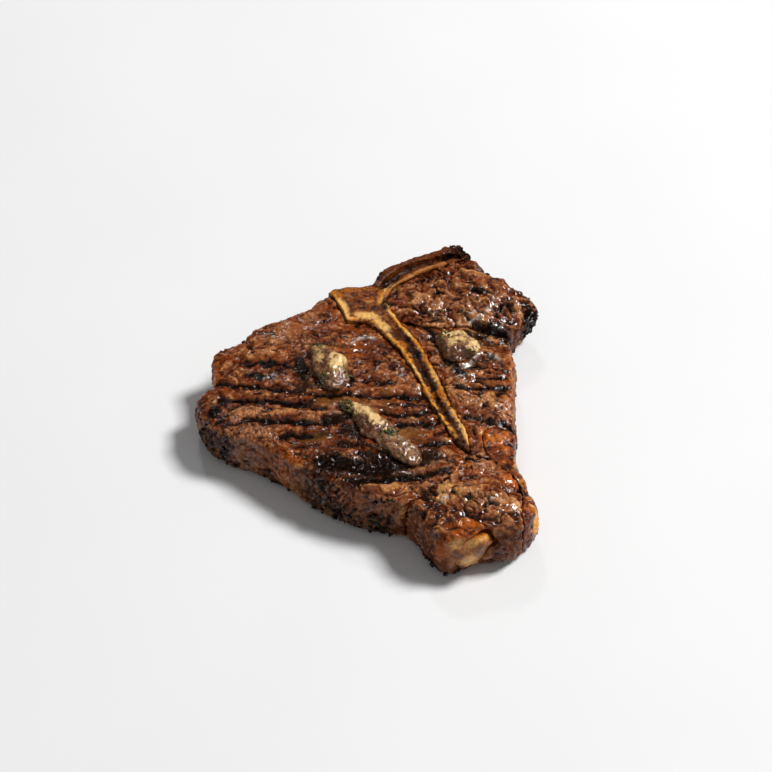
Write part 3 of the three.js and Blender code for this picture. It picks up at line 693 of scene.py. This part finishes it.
# Bone
BONE_TONES = [(-0.7, CHAR), (-0.35, DARK), (0.0, (100, 50, 20)), (0.4, (144, 86, 38)), (0.9, (190, 132, 66))]
CORTICAL_LINES = (STEM_RIGHT, STEM_LEFT, BODY_LEFT, BODY_BOTTOM, APEX_LINE, ARM_LINE)
BONE_CREAM = [
    (-13.5, 53, 2.6, 6.5, 22, 1), (-12, 46.5, 2.6, 2.6, 0, 0.9), (-1, 46.5, 7, 2.4, -8, 1),
    (6.5, 40, 2.6, 6, 38, 1), (22.6, 7, 1.6, 5.5, 28, 0.9), (19.5, 33, 1.6, 3.6, 30, 0.9),
    (31.6, 3.6, 1.4, 5, 22, 0.8), (45, -33, 1.2, 9, 20, 1), (11, 48, 1.2, 4.5, 28, 0.8),
]
BONE_GOLD = [
    (-17.5, 62.5, 4.5, 3, 0, 1), (-8, 66, 9, 2, 8, 0.7), (16, 25, 2.4, 3.6, 30, 1),
    (24.5, 26, 2.2, 6, 28, 1), (19, 17, 2.2, 5, 30, 1), (28, 14, 1.8, 5, 20, 0.9),
    (29, -6, 2, 6, 25, 0.8), (35, -9, 1.8, 6, 22, 0.9), (5.5, 61, 1.6, 5, -14, 0.9),
]
BONE_BLACK = [
    (19.5, 29, 1.5, 2, 30, 0.95), (24, 18.5, 2.2, 2.6, 30, 1), (27, 5, 1.4, 2, 30, 0.9),
    (31.5, -4, 1.6, 2.4, 25, 0.9), (7.5, 54, 1.8, 3.6, 15, 0.9), (37.5, -21, 1.5, 3, 25, 1),
    (33.5, -12, 1.3, 2, 25, 0.8), (27, 12, 1, 2, 30, 0.8), (15, 33, 1, 3, 30, 0.7),
    (40, 90, 6, 3.4, 25, 1), (3, 76, 3, 4, 0, 1), (49, 95, 5, 7, 0, 1), (21, 20.5, 1.4, 4, 30, 0.9),
    (27, 5, 1.3, 5, 25, 0.8), (22.2, 19.6, 1.2, 3, 30, 0.9),
]
BONE_LAYERS = [(BONE_GOLD, BONE_ORANGE, 0.75, -0.6, 0.0), (BONE_CREAM, CREAM, 0.85, -0.8, -0.1)]


def bone_height(p, top, cortical, breaks, trough, spongy, broad):
    """Raised cortical lines, pitted sponge between them, a sunk trough and craggy ends."""
    height = 0.35 * cortical * breaks * top - 0.5 * (1 - spongy) * (1 - cortical) * top
    height += 0.35 * broad - 0.9 * trough * top + 0.7 * layered(p, 4, 86) * (1 - top)
    return height + 1.6 * crusted(p[:, :2]) * (billow(p, 3.2, 94, 1) - 0.5)


def bone_char(p, q, top, tone, cortical, trough):
    """How charred each point is in the trough, in dots, at the crusted ends and in patches."""
    dots = fade(noise(p, 2.2, 89), 0.22, 0.42) * fade(p[:, 1], 40, 24) * (1 - 0.6 * cortical)
    char = np.maximum(trough * top * fade(layered(p, 4, 92), -1.0, -0.2), 0.85 * dots)
    char = np.maximum(char, crusted(p[:, :2]) * fade(noise(p, 3, 93), -0.5, 0.1))
    return np.maximum(char, in_patches(q, BONE_BLACK) * fade(tone, 0.9, 0.1))


def bone_look(node, p, up):
    """Height, colour, wetness and grit of the bone."""
    q = p[:, :2] + 0.5 * np.stack([noise(p, 2.2, 81), noise(p, 2.2, 82)], axis=1)
    top = facing_up(up)
    cortical = on_lines(q, CORTICAL_LINES, 0.95)
    trough = bell(line_distance(q, TROUGH_LINE), 3.6)
    marrow = fade(p[:, 1], 44, 34) * (1 - cortical) * top
    spongy = pebbles(p, 1.7, 83)
    broad = layered(p, 4.5, 85)
    breaks = fade(layered(p, 2.6, 84, 2), -0.5, 0.05)
    arm = fade(p[:, 0] + p[:, 1], 80, 90)
    tone = 0.55 * broad + 0.7 * (spongy - 0.6) + 0.35 * noise(p, 1.1, 87)
    tint = ramp(tone, BONE_TONES)
    tint = blend(tint, MARROW, 0.85 * marrow)
    tint = blend(tint, BONE_EDGE, 0.95 * cortical * breaks)
    tint = blend(tint, CREAM, 0.7 * cortical * fade(noise(p, 3, 95), 0.0, 0.4))
    tint = blend(tint, TAN, 0.7 * bell(line_distance(q, ARM_LINE), 1.2))
    tint = lay_on(tint, BONE_LAYERS, q, tone)
    tint = blend(tint, BROWN, 0.6 * arm * (1 - cortical))
    outer = fade(np.abs(up), 0.6, 0.2) * fade(layered(p, 6, 90), -0.4, 0.4)
    tint = blend(tint, DARK, 0.6 * outer)
    tint = blend(tint, CHAR, bone_char(p, q, top, tone, cortical, trough))
    height = bone_height(p, top, cortical, breaks, trough, spongy, broad)
    wet = (0.35 + 0.6 * layered(p, 4, 91)) * (1 - 0.8 * trough) * (1 - 0.6 * arm)
    return height, tint * WARMER, wet, np.full(len(p), 0.6)


# Fat
RIM_TONES = [
    (-0.6, CHAR), (-0.3, DARK), (0.0, (104, 44, 12)), (0.35, (150, 76, 18)), (0.7, (186, 114, 38)),
    (1.2, CREAM),
]
RIM_PALE = [(69, -48, 1.3, 8, -4, 0.7)]
RIM_GOLD = [(72, -66, 3.4, 6, 20, 1), (60, -36, 5, 3, 0, 0.4)]
RIM_DARK = [
    (75, -73, 4, 5, 0, 1), (66, -54, 4, 4, 0, 0.9), (73, -87, 5, 3, 0, 1), (58, -44, 3, 4, 0, 0.6),
]
RIM_LAYERS = [
    (ORANGE_PATCHES, ORANGE, 0.6, -0.5, 0.2),
    (RIM_DARK, RED_BROWN, 0.75, 0.9, 0.3),
    (RIM_GOLD, GOLD, 0.7, -0.4, 0.2),
    (RIM_PALE, CREAM, 0.85, -0.5, 0.2),
]
# The gold lump at the front end of the rim: its middle and its half size
LUMP_MIDDLE = (77, -80, 16)
LUMP_HALF = (5, 5.5, 6.5)
# The pale middle of the knob, over x and y + z
KNOB_MIDDLE = (44, -82)
KNOB_HALF = (9, 11)
KNOB_TONES = [(-0.8, (84, 42, 18)), (-0.2, (124, 68, 28)), (0.6, (168, 108, 52))]


def rim_colour(p, up, tone):
    """Browned fat with gold and pale patches, a gold lump at its front end, and brown below that."""
    q = ragged(p, 101)
    tint = ramp(tone, RIM_TONES)
    tint = blend(tint, BROWN, 0.6 * fade(layered(p, 8, 111), 0.0, 0.5))
    tint = lay_on(tint, RIM_LAYERS, q, tone)
    x, y, z = ((p - LUMP_MIDDLE) / LUMP_HALF).T
    lump = np.hypot(np.hypot(x, y), z)
    tint = blend(tint, PALE_GOLD, 0.85 * fade(lump, 1.2, 0.6))
    low = fade(p[:, 2], 11, 6) * fade(p[:, 1], -60, -70)
    tint = blend(tint, FOOT_BROWN, 0.85 * low)
    char = np.maximum(0.9 * in_patches(q, BURNT_AND_SHADOW_PATCHES), fade(grill_marks(q), 0.15, 0.8) * facing_up(up))
    flecks = fade(pebbles(p, 2.1, 113) + 0.6 * layered(p, 7, 115), 0.9, 1.1)
    return blend(tint, CHAR, np.maximum(char, 0.85 * flecks * fade(lump, 0.7, 1.1)))


def knob_swell(p):
    """Rounds the knob's pale middle out and draws its browned upper end in under the cuff."""
    seen = np.c_[p[:, 0], p[:, 1] + p[:, 2]]
    middle = ellipse_distance(seen, KNOB_MIDDLE, KNOB_HALF, 0)
    return 1.6 * fade(middle, 1.1, 0.1) - 1.5 * fade(middle, 0.9, 1.4)


def fat_look(node, p, up):
    """Height, colour, wetness and grit of the rim or the knob."""
    crags = layered(p, 5, 103)
    lumps = pebbles(p, 2.6, 105) - 0.55
    height = 0.55 * crags + 0.6 * lumps + 0.2 * noise(p, 1.3, 107)
    # The tone follows the crags and lumps of the height: painted light where they stand out and painted shade
    # between them
    tone = 0.12 + 0.75 * crags + 0.6 * lumps + 0.4 * noise(p, 1.4, 109)
    if node == "fat_knob":
        height = 0.5 * height + knob_swell(p)
        tint = round_end(p, ramp(tone, KNOB_TONES), tone)
        wet = np.full(len(p), 0.5)
    else:
        height += 0.8 * crusted(p[:, :2]) * (ridged(p, 3.0, 39, 1) - 0.1)
        tint = rim_colour(p, up, tone - 0.14)
        wet = 0.35 + 0.6 * layered(p, 3, 117)
    return height, tint * WARMER, wet, np.full(len(p), 0.6)


# Butter
BUTTER_TONES = [(-0.7, (54, 28, 12)), (-0.2, (104, 66, 38)), (0.4, (150, 106, 68))]
BUTTER_BRIGHT = {
    "butter_left": [
        (-15.5, 8.5, 5, 7.4, -8, 1), (-25, 13.5, 3.6, 6.5, 0, 0.65), (-24, 20, 4.5, 2.4, 0, 0.65),
    ],
    "butter_front": [
        (-4, -22.5, 8, 3.8, -42, 1), (3.5, -29.5, 5, 3.4, -45, 1), (11, -37.5, 5, 2.6, -40, 0.75),
    ],
    "butter_back": [
        (40, 30, 5.4, 3, 15, 1), (46, 27, 6, 5, 0, 1), (51.5, 21.5, 3, 5.5, 0, 1),
        (41, 23, 2.6, 4.5, 0, 0.9),
    ],
}
BUTTER_BROWNED = {
    "butter_left": [(-20.3, 8.5, 1.6, 5.5, 12, 1), (-14, -2.5, 4.5, 2.5, 0, 0.6)],
    "butter_front": [(1, -34, 5, 2, -20, 0.5)],
    "butter_back": [(47.5, 25.5, 1.4, 4, 35, 0.9), (44, 16, 4, 3, 0, 0.8)],
}
BUTTER_LUMPS = {"butter_left": 0.6, "butter_front": 0.9, "butter_back": 1.2}
BUTTER_MELTING = {
    "butter_left": [(-14.5, -3.5, 6, 4, 0, 0.8)],
    "butter_front": [(10.5, -37.5, 7, 5, -40, 1), (-3, -30, 7, 2, -42, 0.7)],
    "butter_back": [(44, 14.5, 7, 4, 0, 0.9)],
}


def butter_colour(node, p, q, tone, grain, bright, melting):
    """Pale where it is whole, brown where it melts and at its foot, with browned spots and green herbs."""
    tint = ramp(tone, BUTTER_TONES)
    tint = blend(tint, BUTTER_TAN, 0.85 * fade(bright, 0.05, 0.6))
    tint = blend(tint, BUTTER_PALE, 0.95 * fade(bright + 0.25 * tone, 0.45, 1))
    spots = np.maximum(fade(noise(p, 3.2, 129), 0.3, 0.5), in_patches(q, BUTTER_BROWNED[node]))
    tint = blend(tint, RED_BROWN, 0.8 * spots * fade(grain, -0.9, 0.1))
    green = in_patches(q, GREEN_PATCHES) * fade(noise(p, 1.6, 131), -0.05, 0.3)
    tint = blend(tint, HERB, 0.85 * np.maximum(green, 0.8 * fade(noise(p, 1.7, 133), 0.42, 0.6)))
    tint = blend(tint, MELTED_BROWN, 0.6 * melting * fade(tone, 0.6, 0.0))
    return blend(tint, JUICE_BROWN, 0.75 * fade(p[:, 2] - p[:, 2].min(), 3.2, 1.2))


def butter_look(node, p, up):
    """Height, colour, wetness and grit of a pat."""
    q = ragged(p, 121)
    folds = ridged(p, 4.2, 123) - 0.3
    grain = noise(p, 1.2, 125)
    bright = in_patches(q, BUTTER_BRIGHT[node])
    lumps = pebbles(warped(p, 1.2, 3, 126), 2.8, 127) - 0.55
    melting = in_patches(q, BUTTER_MELTING[node])
    height = 0.45 * folds + 0.1 * grain + BUTTER_LUMPS[node] * lumps * (1 - 0.6 * bright)
    height -= 0.8 * melting
    # The tone follows the folds and lumps of the height: painted light where it stands out and painted shade
    # where it sinks
    tone = 0.45 * folds + 0.35 * grain + 0.25 * layered(p, 5, 128) + 0.3 * lumps
    tint = butter_colour(node, p, q, tone, grain, bright, melting)
    return height, tint, 0.75 - 0.45 * bright, 0.5 - 0.3 * bright


# Materials
WET_SWELLS_PER_METRE = 460
WET_SWELL_RISE = 1.25 * MM
COAT_ROUGHNESS = 0.09
COAT_IOR = 1.55
LIGHT_DEPTH = 2 * MM
# The brightness below which char turns matt, and where it has no effect any more
CHAR_LIGHT = (0.003, 0.03)
CHAR_ROUGHNESS = 0.95


def feed(tree, socket, value):
    """Gives an input a constant, or joins it to the output of another node."""
    if isinstance(value, bpy.types.NodeSocket):
        tree.links.new(value, socket)
    else:
        socket.default_value = value


def node_of(tree, kind, *in_order, work=None, **named):
    """A new node of a kind, with what feeds its inputs, in their order or by their names."""
    made = tree.nodes.new("ShaderNode" + kind)
    if work:
        made.operation = work
    for socket, value in zip(made.inputs, in_order):
        feed(tree, socket, value)
    for name, value in named.items():
        feed(tree, made.inputs[name.replace("_", " ")], value)
    return made


def painted(tree, name, output="Fac"):
    """What was painted on the vertices under a name."""
    made = node_of(tree, "Attribute")
    made.attribute_name = name
    return made.outputs[output]


def mapped(tree, value, low, high, at_low, at_high):
    """A value between low and high, turned into one between at_low and at_high."""
    limits = {"From_Min": low, "From_Max": high, "To_Min": at_low, "To_Max": at_high}
    return node_of(tree, "MapRange", Value=value, **limits).outputs["Result"]


def granules(tree, place, granule):
    """Packed cells, bent by noise so that none looks regular, and finer noise."""
    bend = node_of(tree, "TexNoise", Vector=place, Scale=granule * 0.9, Detail=2).outputs["Color"]
    bent = node_of(tree, "VectorMath", bend, (0.9 / granule,) * 3, place, work="MULTIPLY_ADD")
    cells = node_of(tree, "TexVoronoi", Vector=bent.outputs["Vector"], Scale=granule)
    fine = node_of(tree, "TexNoise", Vector=place, Scale=granule * 3, Detail=3)
    return cells.outputs["Distance"], fine.outputs["Fac"]


def mottled_tint(tree, cells, fine, shade):
    """The painted colour, with painted light on granules and painted shade between them, as far as the grit
    says.
    """
    light = mapped(tree, cells, 0.1, 0.8, shade, -1.3 * shade)
    speck = mapped(tree, fine, 0.3, 0.7, 1 - 0.5 * shade, 1 + 0.5 * shade)
    mottle = node_of(tree, "Math", light, painted(tree, "grit"), speck, work="MULTIPLY_ADD").outputs["Value"]
    tint = painted(tree, "tint", "Color")
    return node_of(tree, "VectorMath", tint, work="SCALE", Scale=mottle).outputs["Vector"]


def base_roughness(tree, wet, rough):
    """Dry places are rougher than wet ones, and char is matt below its film, so that it stays black."""
    gloss = mapped(tree, wet, 0, 1, rough, rough * 0.5)
    matt = mapped(tree, painted(tree, "tint"), *CHAR_LIGHT, CHAR_ROUGHNESS, 0)
    return node_of(tree, "Math", gloss, matt, work="MAXIMUM").outputs["Value"]


def granule_normal(tree, cells, fine, relief):
    """Bumps of the granules as far as the grit says, with finer ones on them."""
    rise = mapped(tree, cells, 0, 0.9, 1, 0)
    bump = node_of(tree, "Bump", Distance=relief * MM, Strength=painted(tree, "grit"), Height=rise)
    below = bump.outputs["Normal"]
    finer = node_of(tree, "Bump", Distance=0.35 * relief * MM, Strength=0.8, Height=fine, Normal=below)
    return finer.outputs["Normal"]


def film_normal(tree, place):
    """Small swells in the juice film, which make it glint."""
    swells = node_of(tree, "TexNoise", Vector=place, Scale=WET_SWELLS_PER_METRE, Detail=2).outputs["Fac"]
    film = node_of(tree, "Bump", Distance=WET_SWELL_RISE, Strength=painted(tree, "grit"), Height=swells)
    feed(tree, film.inputs["Normal"], painted(tree, "film", "Vector"))
    return film.outputs["Normal"]


def painted_material(name, rough, specular, granule, relief, shade, soft):
    """A material that reads the painted vertices and adds fine granules of its own."""
    material = bpy.data.materials.new(name)
    material.use_nodes = True
    tree = material.node_tree
    place = node_of(tree, "TexCoord").outputs["Object"]
    cells, fine = granules(tree, place, granule)
    wet = painted(tree, "wet")
    finish = {
        "Base Color": mottled_tint(tree, cells, fine, shade),
        "Roughness": base_roughness(tree, wet, rough),
        "Specular IOR Level": specular,
        "Normal": granule_normal(tree, cells, fine, relief),
        "Coat Weight": wet,
        "Coat Roughness": COAT_ROUGHNESS,
        "Coat IOR": COAT_IOR,
        "Coat Normal": film_normal(tree, place),
        "Subsurface Weight": soft,
        "Subsurface Scale": LIGHT_DEPTH,
    }
    for name, value in finish.items():
        feed(tree, tree.nodes["Principled BSDF"].inputs[name], value)
    return material


# Gloss, granules to the metre, their height in millimetres, the strength of their painted light and shade,
# and softness
LOOKS = {
    "meat": dict(rough=0.5, specular=0.05, granule=720, relief=0.5, shade=0.42, soft=0.0),
    "bone": dict(rough=0.5, specular=0.08, granule=1000, relief=0.3, shade=0.3, soft=0.0),
    "fat": dict(rough=0.45, specular=0.1, granule=700, relief=0.35, shade=0.25, soft=0.15),
    "butter": dict(rough=0.45, specular=0.2, granule=900, relief=0.3, shade=0.2, soft=0.25),
}
LOOK_NAMES = {"meat": "grilled_meat", "bone": "sawn_bone", "fat": "browned_fat", "butter": "herb_butter"}
MATERIALS = {slot: painted_material(LOOK_NAMES[slot], **look) for slot, look in LOOKS.items()}


# Loose bits
CRUST_TONES = [(0, BLACK), (0.6, CHAR), (0.85, DARK), (1, RED_BROWN)]
HERB_TONES = [(0, DARK_HERB), (0.6, HERB), (1, DRY_HERB)]
# The lowest that a bit may reach, in millimetres above the floor
BIT_FLOOR = 0.05


def ball():
    """The corners and faces of an even ball."""
    made = bpy.data.meshes.new("ball")
    shape = bmesh.new()
    bmesh.ops.create_icosphere(shape, subdivisions=2, radius=1)
    shape.to_mesh(made)
    corners = np.array([tuple(v.co) for v in made.vertices])
    faces = np.array([tuple(f.vertices) for f in made.polygons])
    bpy.data.meshes.remove(made)
    return corners, faces


BALL_CORNERS, BALL_FACES = ball()


def bit(rng, centre, size, flat, rough):
    """The corners of one small craggy lump."""
    corners = BALL_CORNERS * (1 + rough * rng.uniform(-1, 1, (len(BALL_CORNERS), 1)))
    corners = corners * size * rng.uniform(0.6, 1.4, 3) * np.array([1, 1, flat])
    turn = rng.uniform(0, 2 * math.pi)
    c, s = math.cos(turn), math.sin(turn)
    return corners @ np.array([[c, s, 0], [-s, c, 0], [0, 0, 1]]) + centre


def chosen_spots(rng, pieces, weight, count):
    """Points and normals picked on the surfaces of pieces, more often where the weight is high."""
    found = []
    for piece in pieces:
        p, n = points_of(piece.data)
        found.append(np.c_[p, n, weight(p, n)])
    found = np.concatenate(found)
    odds = found[:, 6] / found[:, 6].sum()
    return found[rng.choice(len(found), count, replace=False, p=odds), :6]


def scatter(name, seed, pieces, weight, count, sizes, flat, rough, lift, tones):
    """One mesh of many small lumps. The middle of each is lifted off the surface by lift times its size."""
    rng = np.random.default_rng(seed)
    corners, faces, tints = [], [], []
    for row in chosen_spots(rng, pieces, weight, count):
        size = rng.uniform(*sizes)
        lump = bit(rng, row[:3] + row[3:6] * size * lift, size, flat, rough)
        lump[:, 2] = np.maximum(lump[:, 2], BIT_FLOOR)
        faces.append(BALL_FACES + len(BALL_CORNERS) * len(corners))
        corners.append(lump)
        shade = ramp(np.array([rng.uniform(0, 1)]), tones)
        tints.append(np.repeat(shade, len(lump), axis=0))
    mesh = bpy.data.meshes.new(name)
    mesh.from_pydata((np.concatenate(corners) * MM).tolist(), [], np.concatenate(faces).tolist())
    mesh.shade_smooth()
    tints = np.concatenate(tints)
    paint(mesh, tints, rng.uniform(0, 0.9, len(tints)), np.full(len(tints), 0.5))
    piece = bpy.data.objects.new(name, mesh)
    bpy.context.scene.collection.objects.link(piece)
    return piece


def crust_odds(p, n):
    """Most bits sit on the crusted edges and the lower side, and some on the patches of char and painted
    shadow on the face.
    """
    side = fade(np.abs(n[:, 2]), 0.85, 0.4)
    low = side * fade(p[:, 2], 9, 3) * fade(p[:, 2], 0.6, 1.5)
    clumps = fade(layered(p, 7, 141), 0.15, 0.45)
    odds = 0.4 * low * clumps + side * crusted(p[:, :2]) ** 2 * (0.1 + clumps)
    return odds + 0.03 * facing_up(n[:, 2]) * clumps * in_patches(p[:, :2], BURNT_AND_SHADOW_PATCHES)


def herb_odds(p, n):
    """Herbs sit on the green patches of what faces up."""
    return fade(n[:, 2], -0.2, 0.4) * in_patches(p[:, :2], GREEN_PATCHES) ** 2


def finish_piece(piece, node, slot):
    """Gives a piece its material and ties it to the frame. Loose bits stand for no node."""
    piece.data.materials.append(MATERIALS[slot])
    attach(piece, "root")
    if node:
        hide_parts(node)


def dressed(node, slot):
    """The piece that stands for a node, with its relief and its painted looks."""
    piece = fine_mesh(node)
    p, n = points_of(piece.data)
    height, *looks = LOOK_MAKERS[slot](node, p, n[:, 2])
    settle(piece.data, p, n, height)
    paint(piece.data, *looks)
    finish_piece(piece, node, slot)
    return piece


LOOK_MAKERS = {"meat": meat_look, "bone": bone_look, "fat": fat_look, "butter": butter_look}
skins = {node: dressed(node, slot) for node, (slot, _, _) in PIECES.items()}

crusty = [skins[node] for node in ("strip_loin", "tenderloin", "upper_lobe", "tail", "t_bone")]
crumbs = scatter(
    "crust_bits", 5, crusty, crust_odds, 520, (0.5, 1.4), flat=0.75, rough=0.4, lift=0.0, tones=CRUST_TONES
)
finish_piece(crumbs, None, "meat")
herby = [skins[node] for node in ("butter_left", "butter_front", "butter_back", "strip_loin", "tenderloin")]
herbs = scatter(
    "herbs", 7, herby, herb_odds, 150, (0.35, 0.9), flat=0.35, rough=0.35, lift=0.2, tones=HERB_TONES
)
finish_piece(herbs, None, "butter")

# Floor, light and camera
FLOOR_SIZE = 8
FLOOR_PLACE = (0, 0, -0.0003)
FLOOR_GREYS = (0.78, 0.82)
FLOOR_ROUGHNESS = 0.8
FLOOR_CLOUDS_PER_METRE = 9


def pale_floor():
    bpy.ops.mesh.primitive_plane_add(size=FLOOR_SIZE, location=FLOOR_PLACE)
    floor = bpy.context.active_object
    floor.name = "floor"
    material = bpy.data.materials.new("pale_cloth")
    material.use_nodes = True
    tree = material.node_tree
    shader = tree.nodes["Principled BSDF"]
    shader.inputs["Roughness"].default_value = FLOOR_ROUGHNESS
    place = node_of(tree, "TexCoord").outputs["Object"]
    cloud = node_of(tree, "TexNoise", Vector=place, Scale=FLOOR_CLOUDS_PER_METRE).outputs["Fac"]
    tone = node_of(tree, "ValToRGB", Fac=cloud)
    for stop, grey in zip(tone.color_ramp.elements, FLOOR_GREYS):
        stop.color = (grey, grey, grey, 1)
    feed(tree, shader.inputs["Base Color"], tone.outputs["Color"])
    floor.data.materials.append(material)


def soft_box(name, place, size, power):
    """A square lamp, size metres wide, that points at the steak."""
    data = bpy.data.lights.new(name, "AREA")
    data.shape = "SQUARE"
    data.size = size
    data.energy = power
    lamp = bpy.data.objects.new(name, data)
    lamp.location = place
    towards = -lamp.location
    lamp.rotation_euler = towards.to_track_quat("-Z", "Y").to_euler()
    bpy.context.scene.collection.objects.link(lamp)


def white_room(front, back):
    """Even light all round, weaker from behind the steak, so that its wet face doesn't turn grey."""
    world = bpy.data.worlds.new("white_room")
    world.use_nodes = True
    tree = world.node_tree
    background = tree.nodes["Background"]
    background.inputs["Color"].default_value = (1, 1, 1, 1)
    towards = node_of(tree, "TexCoord").outputs["Generated"]
    depth = node_of(tree, "SeparateXYZ", Vector=towards).outputs["Y"]
    feed(tree, background.inputs["Strength"], mapped(tree, depth, -0.6, 0.6, front, back))
    bpy.context.scene.world = world


def photo_camera():
    data = bpy.data.cameras.new("camera")
    data.sensor_width = SENSOR_MM
    data.lens = LENS_MM
    camera = bpy.data.objects.new("camera", data)
    camera.location = CAMERA_PLACE
    camera.rotation_euler = (CAMERA_TILT, 0, 0)
    bpy.context.scene.collection.objects.link(camera)
    bpy.context.scene.camera = camera


pale_floor()
# A large lamp high on the right gives the shadow. A small weak one behind the steak makes its juice glint
soft_box("key", (2.3, 0.66, 3.1), size=1.0, power=171)
soft_box("glint", (-0.5, 2.7, 2.9), size=0.4, power=14)
white_room(front=0.33, back=0.07)
photo_camera()
bpy.context.scene.view_settings.view_transform = "Standard"
